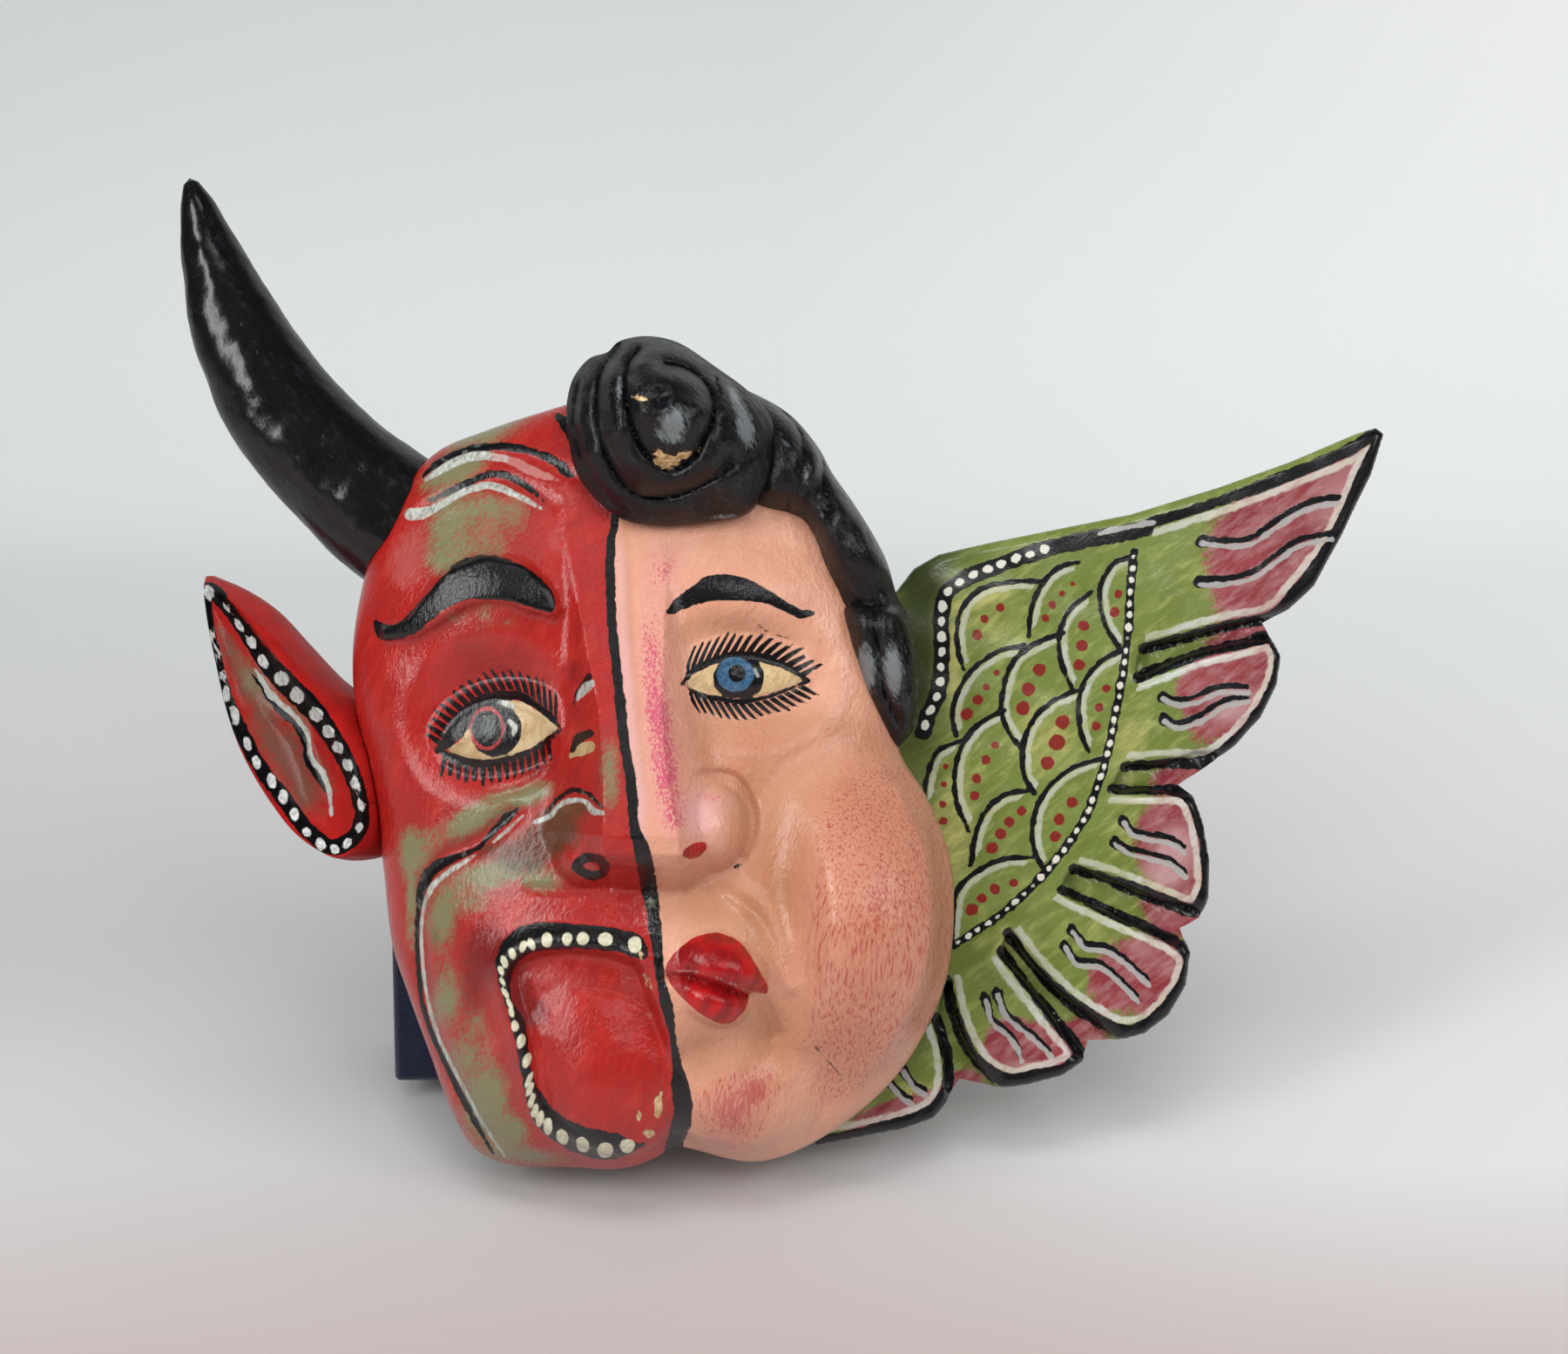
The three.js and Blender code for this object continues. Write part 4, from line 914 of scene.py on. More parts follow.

# Dry brushed tints on the face, with painted shade and painted highlights among them: middle, half sizes,
# turn and strength
GREEN_CLOUDS = [
    (552, 490, 66, 26, -18, 0.97), (523, 540, 50, 18, -24, 0.95), (515, 600, 34, 44, 0, 0.85),
    (565, 585, 40, 28, 10, 0.75), (507, 643, 24, 24, 0, 0.75), (560, 630, 44, 26, 0, 0.6),
    (600, 590, 20, 26, 0, 0.4), (520, 708, 18, 14, 0, 0.6), (556, 706, 20, 22, 0, 0.6),
    (587, 714, 14, 14, 0, 0.5), (540, 742, 34, 12, 0, 0.4), (610, 912, 40, 16, -18, 0.9),
    (545, 938, 60, 22, -32, 0.95), (700, 890, 16, 60, 0, 0.8), (475, 975, 24, 34, 0, 0.85),
    (472, 1040, 10, 70, 0, 0.8), (566, 1002, 50, 22, -8, 0.95), (625, 1012, 30, 20, 0, 0.75),
    (508, 1052, 22, 46, 10, 0.95), (545, 1035, 26, 22, 0, 0.6), (512, 1145, 22, 50, 8, 0.85),
    (550, 1175, 20, 30, 0, 0.55), (556, 1262, 34, 56, 12, 0.98), (585, 1300, 30, 26, 0, 0.9),
    (610, 1328, 64, 12, 4, 0.8), (484, 1215, 10, 80, -14, 0.6), (530, 1215, 22, 30, 0, 0.7),
    (650, 930, 24, 12, -10, 0.6),
]
# Olive-brown dry brushing on the devil's half, partly painted shade in the folds beside and under the nose
OLIVE_SHADE_CLOUDS = [
    (636, 955, 40, 34, -30, 0.95), (598, 985, 34, 24, -20, 0.8), (560, 975, 34, 18, -20, 0.6),
    (520, 520, 44, 10, -24, 0.5), (480, 1020, 8, 44, 0, 0.5), (500, 1075, 14, 36, 0, 0.5),
    (745, 1030, 8, 18, 0, 0.5), (668, 925, 22, 14, 0, 0.6), (575, 1030, 24, 16, 0, 0.4),
]
# Darker red on the devil's half: painted shade under the brow, beside the nose and eye and round the mouth
DARK_RED_SHADE_CLOUDS = [
    (560, 1095, 38, 48, 0, 0.8), (600, 1135, 20, 34, 0, 0.5), (604, 1160, 26, 20, 0, 0.75),
    (610, 760, 70, 18, 8, 0.4), (618, 884, 36, 14, -20, 0.6), (540, 1150, 22, 44, 0, 0.5),
    (648, 1010, 20, 30, 0, 0.35), (660, 775, 14, 30, 0, 0.4), (700, 960, 22, 14, 0, 0.3),
    (470, 770, 20, 60, 0, 0.25), (625, 1180, 24, 50, -14, 0.3),
]
# Pink smudges on the devil's half; the patch on the left of the forehead is a painted highlight
PINK_AND_HIGHLIGHT_CLOUDS = [
    (560, 610, 24, 24, 0, 0.6), (640, 620, 26, 30, 20, 0.45), (655, 570, 40, 26, 30, 0.45),
    (632, 800, 16, 34, -15, 0.6), (470, 900, 36, 40, 0, 0.35), (560, 1205, 20, 26, 20, 0.6),
    (650, 740, 14, 80, -4, 0.35), (470, 640, 30, 50, 20, 0.75), (640, 900, 30, 8, -20, 0.4),
    (660, 1122, 66, 26, 4, 0.45), (640, 1190, 30, 70, -14, 0.4), (700, 1270, 60, 20, 30, 0.3),
]
ROUGE_CLOUDS = [
    (764, 652, 30, 36, 12, 0.66), (748, 740, 24, 70, 0, 0.72), (756, 820, 22, 60, -6, 0.85),
    (765, 890, 24, 56, -4, 0.85), (776, 940, 22, 24, 0, 0.7), (815, 915, 26, 9, 8, 0.7),
    (838, 1275, 32, 32, -30, 0.4), (862, 1250, 20, 18, -30, 0.3), (822, 1310, 22, 12, 0, 0.55),
]
CHEEK_CLOUDS = [
    (1010, 1040, 112, 200, 6, 0.74), (1000, 930, 50, 44, 0, 0.4), (985, 1110, 20, 84, 6, 0.5),
    (1012, 1030, 14, 84, 0, 0.45), (1072, 1050, 36, 130, 0, 0.5), (975, 1190, 50, 54, 0, 0.5),
    (950, 1250, 40, 20, -20, 0.4), (838, 1280, 40, 44, -30, 1.0), (866, 1252, 30, 26, -30, 1.0),
    (860, 855, 80, 34, 0, 0.4),
]
# Tan on the cherub's half: partly its paint's own brownish tone, partly painted shade in the recesses beside
# the cheek, round the mouth and under the nose, brow and eye
TAN_AND_SHADE_CLOUDS = [
    (896, 1000, 34, 110, 4, 0.95), (866, 905, 24, 40, 0, 0.7), (820, 1040, 66, 36, 0, 0.65),
    (800, 1200, 44, 40, 0, 0.75), (884, 1180, 36, 44, -10, 0.9), (985, 850, 40, 18, 30, 0.6),
    (975, 690, 16, 90, -12, 0.6), (810, 715, 48, 18, -12, 0.5), (722, 720, 7, 120, -3, 0.5),
    (737, 900, 6, 90, -4, 0.35), (940, 1190, 66, 36, 0, 0.5), (785, 1020, 44, 12, 0, 0.45),
    (870, 725, 60, 14, 8, 0.5), (900, 830, 60, 14, 0, 0.35), (790, 600, 70, 10, 0, 0.4),
    (860, 1060, 26, 30, 0, 0.6), (870, 850, 90, 40, 0, 0.45), (960, 920, 60, 50, 0, 0.35),
]
LILAC_CLOUDS = [
    (712, 660, 8, 60, 0, 0.6), (720, 790, 9, 120, -4, 0.8), (735, 920, 10, 70, -4, 0.7),
    (805, 935, 28, 32, 0, 0.9),
]


# Rows of lashes, in pixels: how far they are followed past the ends of a lid and away from it, and the
# margin round them; then what stands in for the share of a lash where there is none
LASH_OVERRUN = 30
LASH_REACH = 34
LASH_MARGIN = 8
NO_LASH = 5.0


def lash_fields(x, y):
    """Position along a row of lashes, counted in lashes, how far out along a lash a point lies, and
    1 only close to a row."""
    phase = np.zeros(x.shape)
    shown = np.zeros(x.shape)
    reach = np.full(x.shape, NO_LASH)
    nearest = np.full(x.shape, FAR)
    for lid, length, spacing, leans, side in LASHES:
        path = smooth_path(lid, 8)
        total = np.sum(np.hypot(*np.diff(path, axis=0).T))
        beyond = LASH_OVERRUN / np.hypot(*(path[1] - path[0]))
        longer = np.vstack([
            path[0] + (path[0] - path[1]) * beyond, path, path[-1] + (path[-1] - path[-2]) * beyond])
        distance, _, along = near_path(x, y, longer, LASH_REACH)
        along = along - LASH_OVERRUN
        outline = np.vstack([longer, longer[::-1] + np.array([0, 2 * LASH_OVERRUN * side])])
        out = np.where(inside_outline(x, y, outline), -distance, distance)
        lean = np.interp(along / total, (0, 0.5, 1), leans)
        row = (along - out * lean) / spacing
        better = (np.abs(out) < nearest) & (distance < LASH_REACH) & (row > -1) & (row < total / spacing + 1)
        nearest = np.where(better, np.abs(out), nearest)
        phase = np.where(better, row, phase)
        within = (row > 0) & (row < math.floor(total / spacing))
        reach = np.where(better, np.where(within, out / length, NO_LASH), reach)
        shown = np.where(better, within & (out > -LASH_MARGIN) & (out < length + LASH_MARGIN), shown)
    return phase, reach, shown


def paint_face(piece):
    """Stores where each colour lies on the face, as distances to the strokes' edges and densities."""
    u, w, d = carved(triples(piece.data.vertices, "co"))
    x, y = drawn(u, w, d)
    midline = np.array(MIDLINE, float)
    side = x - np.interp(y, midline[:, 1], midline[:, 0])

    ink = strokes(x, y, [MIDLINE, *FOREHEAD_INK, *NOSE_INK, *LIDS])
    for outline in (DEVIL_BROW, CHERUB_BROW, MOUTH_OUTER + MOUTH_INNER):
        ink = np.minimum(ink, area(x, y, outline))
    eyes = np.minimum(area(x, y, DEVIL_EYE), area(x, y, CHERUB_EYE))
    discs = np.minimum.reduce([(ellipse(x, y, *iris) - 1) * min(iris[1]) for iris in IRISES])
    ink = np.minimum(ink, np.maximum(discs, eyes))
    # The glints among the white strokes are painted highlights on the irises
    chalk = strokes(x, y, FOREHEAD_CHALK + NOSE_CHALK + GLINTS)
    cream = np.minimum(eyes, strokes(x, y, NOSE_CREAM))

    ring = np.abs((ellipse(x, y, *DEVIL_RING) - 1) * DEVIL_RING[1][0]) - DEVIL_RING_WIDTH / 2
    red = np.minimum.reduce([ring, area(x, y, LIPS), spots(x, y, NOSTRIL_SPOTS)])
    blue = (ellipse(x, y, *CHERUB_BLUE) - 1) * CHERUB_BLUE[1][1]
    blue = np.maximum(blue, (1 - ellipse(x, y, *CHERUB_PUPIL)) * CHERUB_PUPIL[1][0])
    blue = np.minimum(blue, (ellipse(x, y, *DEVIL_PUPIL) - 1) * DEVIL_PUPIL[1][0])
    chips = spots(x, y, CHIPS + HAIR_CHIPS)
    fine = strokes(x, y, LIP_PARTING + FOREHEAD_PINK)
    cracks = strokes(x, y, CRACKS)
    phase, reach, shown = lash_fields(x, y)

    devil = 1 - ease(-2, 2, side)
    attribute(piece, "paint_lines", ink, chalk, cream)
    attribute(piece, "paint_spots", red, blue, side)
    attribute(piece, "paint_wear", chips, cracks, fine)
    attribute(piece, "paint_lashes", phase, reach, shown)
    # Olive and darker red on the devil's half are partly painted shade
    attribute(piece, "paint_devil", clouds(x, y, GREEN_CLOUDS) * devil, clouds(x, y, OLIVE_SHADE_CLOUDS),
              clouds(x, y, DARK_RED_SHADE_CLOUDS) * devil)
    # Tan is partly painted shade
    attribute(piece, "paint_cherub", clouds(x, y, ROUGE_CLOUDS) * (1 - devil),
              clouds(x, y, CHEEK_CLOUDS), clouds(x, y, TAN_AND_SHADE_CLOUDS) * (1 - devil))
    # Painted highlights on the hair
    attribute(piece, "paint_hair", clouds(x, y, HAIR_PAINTED_HIGHLIGHTS))
    # Pink, partly a painted highlight
    attribute(piece, "paint_soft", clouds(x, y, PINK_AND_HIGHLIGHT_CLOUDS) * devil,
              clouds(x, y, LILAC_CLOUDS) * (1 - devil), spots(x, y, TEETH))


# Paint of the ear

EAR_BAND = [
    (239, 668, 16), (259, 699, 19), (280, 728, 22), (303, 757, 23), (331, 786, 25), (362, 818, 24),
    (386, 853, 21), (404, 888, 19), (415, 925, 18), (413, 950, 18), (398, 967, 19), (380, 972, 19),
    (353, 953, 18), (327, 918, 18), (303, 887, 17), (286, 858, 17), (268, 820, 16), (256, 787, 14),
    (247, 750, 13), (239, 712, 12),
]
EAR_DOTS = [
    (240, 681, 6.5, 9.5, -20), (259, 699, 6, 8, -20), (273, 719, 6, 8, -20), (288, 738, 6, 8, -20),
    (302, 760, 6.5, 8, -25), (323, 779, 8, 9, -30), (341, 798, 8, 9.5, -30), (363, 820, 8, 9, -30),
    (377, 840, 7, 8, -20), (388, 858, 6, 7.5, -20), (399, 878, 6, 7.5, -20), (408, 899, 6, 7.5, -10),
    (415, 922, 4.6, 7.5, -8), (413, 949, 4.4, 6.5, 20), (398, 968, 4.6, 6, 50),
    (384, 974, 5.5, 6, 0), (368, 969, 5, 7, -20), (353, 955, 5, 7, -20), (338, 934, 5, 7.5, -20),
    (325, 915, 5.5, 8, -15), (312, 896, 5.5, 9, -15), (294, 874, 5, 8, -10), (284, 855, 4.5, 8, -10),
    (270, 822, 5, 11, -12), (260, 796, 4.5, 9, -8), (256, 775, 4.2, 7, 0), (250, 751, 4, 8, 0),
    (244, 727, 3.6, 8, 0),
]
EAR_CHALK = [[(291, 765, 3), (300, 779, 6), (312, 799, 7), (334, 818, 6), (353, 842, 6), (357, 869, 6),
              (371, 888, 7), (378, 909, 6), (380, 935, 3)]]
EAR_INK = [[(287, 770, 2), (302, 791, 5), (318, 812, 8), (340, 833, 8), (350, 850, 8), (352, 871, 7),
            (366, 893, 7), (374, 908, 4)]]
EAR_OLIVE_CLOUDS = [
    (283, 775, 24, 62, -30, 0.9), (315, 850, 32, 70, -32, 0.85), (345, 905, 28, 54, -28, 0.8),
    (365, 880, 18, 54, -25, 0.75), (262, 735, 12, 34, -24, 0.7),
]
EAR_GREEN_CLOUDS = [
    (285, 770, 16, 40, -30, 0.6), (345, 830, 16, 40, -32, 0.5), (312, 800, 30, 40, -30, 0.35),
]
# Heights above the ear's back between which its paint changes from plain to patterned
EAR_PATTERN_START = (6.0, 10.0)
# How much longer and narrower than round a painted dot is
DOT_SQUASH = 0.12


def dots_along(path, spacing, half, start):
    """Middles, half sizes and turns of painted dots strung along a path."""
    curve = smooth_path(path, 10)[:, :2]
    lengths = np.concatenate([[0], np.cumsum(np.hypot(*np.diff(curve, axis=0).T))])
    rows = []
    for i, s in enumerate(np.arange(start, lengths[-1], spacing)):
        x, y = (np.interp(s, lengths, curve[:, k]) for k in (0, 1))
        ahead = [np.interp(s + 2, lengths, curve[:, k]) for k in (0, 1)]
        turn = math.degrees(math.atan2(ahead[1] - y, ahead[0] - x))
        size = half * (1 + 0.12 * math.sin(i * 2.4))
        rows.append((x, y, size * (1 + DOT_SQUASH), size * (1 - DOT_SQUASH), turn + 8 * math.sin(i * 1.7)))
    return rows


def paint_ear(piece):
    """Stores where each colour lies on the ear."""
    u, w, d = carved(triples(piece.data.vertices, "co"))
    x, y = drawn(u, w, d)
    band = smooth_path(EAR_BAND, 6, closed=True)
    front = ease(*EAR_PATTERN_START, d - EAR_BACK)
    away = FAR * (1 - front)
    distance, full, _ = near_path(x, y, np.vstack([band, band[:1]]))
    ring = distance - full / 2
    inner = area(x, y, EAR_BAND)
    dots = spots(x, y, EAR_DOTS)
    ink = np.minimum(ring, np.maximum(strokes(x, y, EAR_INK), inner))
    attribute(piece, "paint_lines", ink + away, strokes(x, y, EAR_CHALK) + away, dots + away)
    bowl = (inner < 0) * front
    attribute(piece, "paint_devil", clouds(x, y, EAR_GREEN_CLOUDS) * bowl,
              clouds(x, y, EAR_OLIVE_CLOUDS) * bowl)


# Paint of the wing

OUTER_BAND = [
    (1060, 840), (1068, 815), (1078, 790), (1081, 750), (1081, 705), (1088, 680),
    (1108, 664), (1140, 651), (1175, 638), (1212, 627), (1250, 619), (1284, 613), (1314, 607),
]
OUTER_BAND_WIDTH = 19.0
INNER_BAND = [
    (1302, 634), (1298, 676), (1296, 717), (1291, 757), (1285, 796), (1277, 836), (1267, 880),
    (1247, 935), (1222, 974), (1186, 1016), (1148, 1050), (1108, 1076), (1096, 1084),
]
INNER_BAND_WIDTH = 10.0
# Dots of the bands: spacing, half size and where the first one stands
OUTER_DOTS = (17.5, 5.4, 8)
INNER_DOTS = (13.5, 3.4, 5)
SCALE_INK_WIDTH = 6.0
SCALE_CHALK_INSET = 6.2
SCALE_CHALK_WIDTH = 6.8
# Scales: the painted arc from its upper end round the left to its lower end
SCALES = [
    [(1193, 667), (1164, 667), (1132, 674), (1111, 688), (1100, 711), (1099, 742), (1106, 768)],
    [(1240, 645), (1214, 652), (1194, 674), (1183, 704), (1181, 730)],
    [(1252, 680), (1228, 700), (1217, 724), (1216, 748), (1223, 775), (1234, 794)],
    [(1300, 637), (1279, 646), (1265, 668), (1263, 694), (1271, 722), (1287, 746)],
    [(1176, 740), (1146, 748), (1116, 769), (1099, 796), (1093, 823), (1098, 845)],
    [(1221, 726), (1190, 738), (1166, 756), (1153, 785), (1150, 818), (1161, 845), (1172, 858)],
    [(1293, 745), (1266, 758), (1244, 783), (1238, 812), (1242, 845), (1250, 863)],
    [(1102, 850), (1077, 862), (1066, 885), (1062, 905), (1062, 930)],
    [(1153, 815), (1124, 831), (1105, 855), (1096, 888), (1099, 925), (1113, 954)],
    [(1242, 791), (1209, 804), (1185, 828), (1174, 860), (1177, 893), (1188, 911)],
    [(1180, 907), (1150, 914), (1129, 935), (1118, 965), (1115, 992)],
    [(1266, 871), (1236, 879), (1207, 900), (1191, 925), (1185, 952), (1188, 978), (1197, 997)],
    [(1186, 984), (1153, 986), (1121, 1000), (1100, 1021), (1094, 1048), (1093, 1084)],
]
SCALE_DOTS = [
    (1148, 697, 5), (1130, 710, 5), (1122, 729, 6.5), (1231, 670, 3.5), (1219, 681, 4), (1208, 694, 4.5),
    (1200, 710, 4.5), (1244, 718, 6.5), (1242, 741, 7), (1239, 763, 6.5), (1284, 682, 5),
    (1280, 703, 5.5), (1144, 772, 4), (1132, 788, 4.5), (1122, 803, 6), (1110, 820, 7),
    (1193, 768, 7.5), (1181, 791, 8), (1174, 813, 8.5), (1270, 791, 5), (1262, 812, 5),
    (1258, 833, 5.5), (1086, 880, 4), (1083, 900, 4), (1082, 923, 4.5), (1083, 943, 5),
    (1143, 855, 5), (1132, 872, 5.5), (1121, 893, 5.5), (1119, 913, 5.5), (1220, 829, 8),
    (1213, 852, 9), (1203, 875, 8), (1172, 931, 6), (1159, 943, 6.5), (1149, 957, 6.5),
    (1139, 973, 7), (1231, 921, 6.5), (1216, 940, 6.5), (1211, 960, 6.5), (1163, 1013, 5.5),
    (1142, 1021, 6), (1127, 1031, 6), (1116, 1044, 7.5),
]
# Feathers: the outline from the root along the upper edge, round the end and back along the lower edge
FEATHERS = [
    [(1322, 600), (1400, 575), (1480, 545), (1545, 518), (1587, 494), (1566, 545), (1545, 595),
     (1520, 640), (1492, 675), (1460, 707), (1415, 717), (1356, 733), (1312, 745)],
    [(1306, 777), (1340, 764), (1382, 749), (1420, 740), (1459, 732), (1471, 752), (1466, 784),
     (1446, 822), (1418, 853), (1388, 874), (1340, 876), (1291, 880)],
    [(1277, 906), (1316, 907), (1362, 911), (1378, 942), (1386, 985), (1386, 1021), (1372, 1044),
     (1329, 1031), (1275, 1010), (1232, 997)],
    [(1220, 1021), (1275, 1047), (1346, 1079), (1365, 1098), (1363, 1120), (1345, 1152), (1320, 1176),
     (1290, 1184), (1257, 1169), (1221, 1144), (1186, 1108), (1157, 1071)],
    [(1150, 1092), (1179, 1131), (1211, 1171), (1238, 1208), (1228, 1224), (1193, 1236),
     (1156, 1240), (1122, 1218), (1101, 1180), (1092, 1150), (1087, 1124)],
    [(1075, 1168), (1086, 1205), (1088, 1246), (1072, 1274), (1043, 1288), (989, 1301), (936, 1310)],
]
FEATHER_INK_WIDTH = 12.0
FEATHER_END_WIDTH = 6.0
BAND_END_SMUDGES = [[(1262, 613, 4), (1278, 608, 7), (1296, 605, 5), (1316, 601, 7), (1326, 600, 4)]]
FEATHER_CHALK_WIDTH = 8.0
FEATHER_CHALK_INSET = 12.0
FEATHER_WAVES = [
    [(1379, 622), (1405, 625), (1437, 622), (1458, 608), (1485, 590), (1512, 579), (1538, 576)],
    [(1376, 669), (1405, 669), (1437, 662), (1464, 643), (1491, 625), (1527, 617)],
    [(1334, 800), (1352, 808), (1373, 804), (1400, 793), (1432, 793)],
    [(1336, 826), (1352, 834), (1378, 826), (1405, 809), (1432, 804)],
    [(1289, 943), (1300, 957), (1320, 962), (1345, 967), (1360, 977)],
    [(1280, 967), (1295, 978), (1320, 984), (1345, 992), (1360, 1006)],
    [(1231, 1068), (1245, 1087), (1268, 1090), (1290, 1103), (1318, 1129)],
    [(1222, 1085), (1235, 1105), (1262, 1109), (1285, 1127), (1306, 1148)],
    [(1145, 1140), (1153, 1164), (1172, 1180), (1190, 1195), (1205, 1210)],
    [(1131, 1146), (1137, 1170), (1155, 1186), (1168, 1203), (1172, 1216)],
    [(1036, 1228), (1048, 1246), (1062, 1256)], [(1018, 1240), (1032, 1256), (1046, 1266)],
]
TIP_CLOUDS = [
    (1520, 580, 110, 80, -40, 0.98), (1450, 660, 66, 66, 0, 0.97), (1460, 610, 60, 40, 0, 0.95),
    (1430, 795, 74, 70, 0, 0.98), (1375, 800, 22, 40, 0, 0.6), (1362, 970, 58, 84, 0, 0.98),
    (1320, 965, 22, 34, 0, 0.6), (1325, 1125, 66, 54, 30, 0.98), (1275, 1125, 30, 34, 30, 0.7),
    (1195, 1210, 60, 42, 20, 0.98), (1150, 1200, 24, 26, 0, 0.7), (1030, 1280, 80, 24, -18, 0.97),
    (1440, 730, 40, 14, -10, 0.95), (1355, 893, 34, 14, 0, 0.95), (1352, 1052, 44, 16, 20, 0.98),
    (1246, 1195, 26, 30, 30, 0.98), (1106, 1245, 22, 22, 0, 0.95),
]
WING_PINK_CLOUDS = [
    (1415, 810, 40, 26, -20, 0.7), (1350, 975, 30, 34, 0, 0.75), (1330, 1005, 30, 18, 20, 0.6),
    (1530, 570, 30, 60, 30, 0.5), (1310, 1090, 30, 18, 20, 0.45), (1180, 1225, 40, 12, 10, 0.5),
]
WING_SHADE_CLOUDS = [
    (1054, 750, 32, 150, 0, 1.0), (1060, 670, 30, 26, 0, 0.9), (1080, 640, 60, 16, -14, 0.6),
    (1130, 1110, 60, 40, 30, 0.35), (1060, 1180, 20, 60, 10, 0.4),
]
WING_YELLOW_CLOUDS = [
    (1150, 720, 60, 60, 0, 0.5), (1200, 850, 66, 66, 0, 0.6), (1095, 960, 34, 100, 0, 0.7),
    (1300, 850, 28, 70, 10, 0.6), (1095, 760, 12, 66, 0, 0.9), (1130, 684, 44, 11, -20, 0.8),
    (1165, 1090, 44, 44, 30, 0.6), (1060, 1260, 44, 24, 0, 0.8), (1290, 960, 34, 44, 20, 0.5),
    (1360, 660, 60, 34, 0, 0.4), (1250, 1070, 40, 30, 30, 0.5),
]


# Height below which the wing's strokes no longer slant outwards, and the heights above its back between
# which they begin
WING_LOWEST_DRAWN = 8.0
WING_PATTERN_START = (2.0, 5.0)


def wing_thickness(u):
    """Thickness of the wing's board, which tapers towards its tip."""
    share = np.clip((u - WING_SPAN[0]) / (WING_SPAN[1] - WING_SPAN[0]), 0, 1)
    return WING_THICKNESS[0] + (WING_THICKNESS[1] - WING_THICKNESS[0]) * share


def paint_wing(piece):
    """Stores where each colour lies on the wing."""
    u, w, d = carved(triples(piece.data.vertices, "co"))
    x, y = drawn(u, w, np.maximum(d, WING_LOWEST_DRAWN))
    away = FAR * (1 - ease(*WING_PATTERN_START, d))
    scales = strokes(x, y, SCALES, SCALE_INK_WIDTH)
    outer = near_path(x, y, smooth_path(OUTER_BAND, 6))[0] - OUTER_BAND_WIDTH / 2
    inner = near_path(x, y, smooth_path(INNER_BAND, 6))[0] - INNER_BAND_WIDTH / 2
    ink = np.minimum.reduce([scales, outer, inner])
    chalk = np.full(x.shape, FAR)
    for arc in SCALES:
        ring = smooth_path(arc, 6)
        within = inside_outline(x, y, ring)
        distance = near_path(x, y, ring)[0]
        line = np.abs(distance - SCALE_CHALK_INSET) - SCALE_CHALK_WIDTH / 2
        chalk = np.minimum(chalk, np.where(within, line, FAR))
    for outline in FEATHERS:
        path = smooth_path(outline, 6)
        distance, _, along = near_path(x, y, path)
        within = inside_outline(x, y, path)
        total = np.sum(np.hypot(*np.diff(path, axis=0).T))
        full = FEATHER_INK_WIDTH + FEATHER_END_WIDTH * np.exp(-((along / total - 0.55) / 0.24) ** 2)
        ink = np.minimum(ink, distance - (full + 1.5 * np.sin(x * 0.05 + y * 0.03)) / 2)
        line = np.abs(distance - FEATHER_CHALK_INSET) - FEATHER_CHALK_WIDTH / 2
        chalk = np.minimum(chalk, np.where(within, line, FAR))
    above = strokes(x, y, [[(a - 1, b - 5, 7) for a, b in path] for path in FEATHER_WAVES])
    roots = strokes(x, y, [[(*path[0], 13), (*path[1], 7)] for path in FEATHER_WAVES])
    ink = np.minimum.reduce([ink, above, roots])
    grey = strokes(x, y, [[(a + 1, b + 2, 6) for a, b in path] for path in FEATHER_WAVES])
    grey = np.minimum(grey, strokes(x, y, BAND_END_SMUDGES))
    upper_edge = np.array(FEATHERS[0][:5], float)
    below = ease(-2, 2, y - np.interp(x, upper_edge[:, 0], upper_edge[:, 1]))
    dots = spots(x, y, dots_along(OUTER_BAND[:10], *OUTER_DOTS) + dots_along(INNER_BAND, *INNER_DOTS))
    scale_dots = spots(x, y, [(a, b, radius, radius, 0) for a, b, radius in SCALE_DOTS])
    attribute(piece, "paint_lines", ink + away, chalk + away, dots + away)
    attribute(piece, "paint_spots", scale_dots + away, grey + away)
    attribute(piece, "paint_devil", clouds(x, y, TIP_CLOUDS) * below, clouds(x, y, WING_SHADE_CLOUDS),
              clouds(x, y, WING_YELLOW_CLOUDS))
    attribute(piece, "paint_soft", clouds(x, y, WING_PINK_CLOUDS), d)


# Materials

def paint_colour(code):
    """Linear colour of a web colour code."""
    channels = [int(code[i:i + 2], 16) / 255 for i in (1, 3, 5)]
    linear = [c / 12.92 if c <= 0.04045 else ((c + 0.055) / 1.055) ** 2.4 for c in channels]
    return (*linear, 1.0)


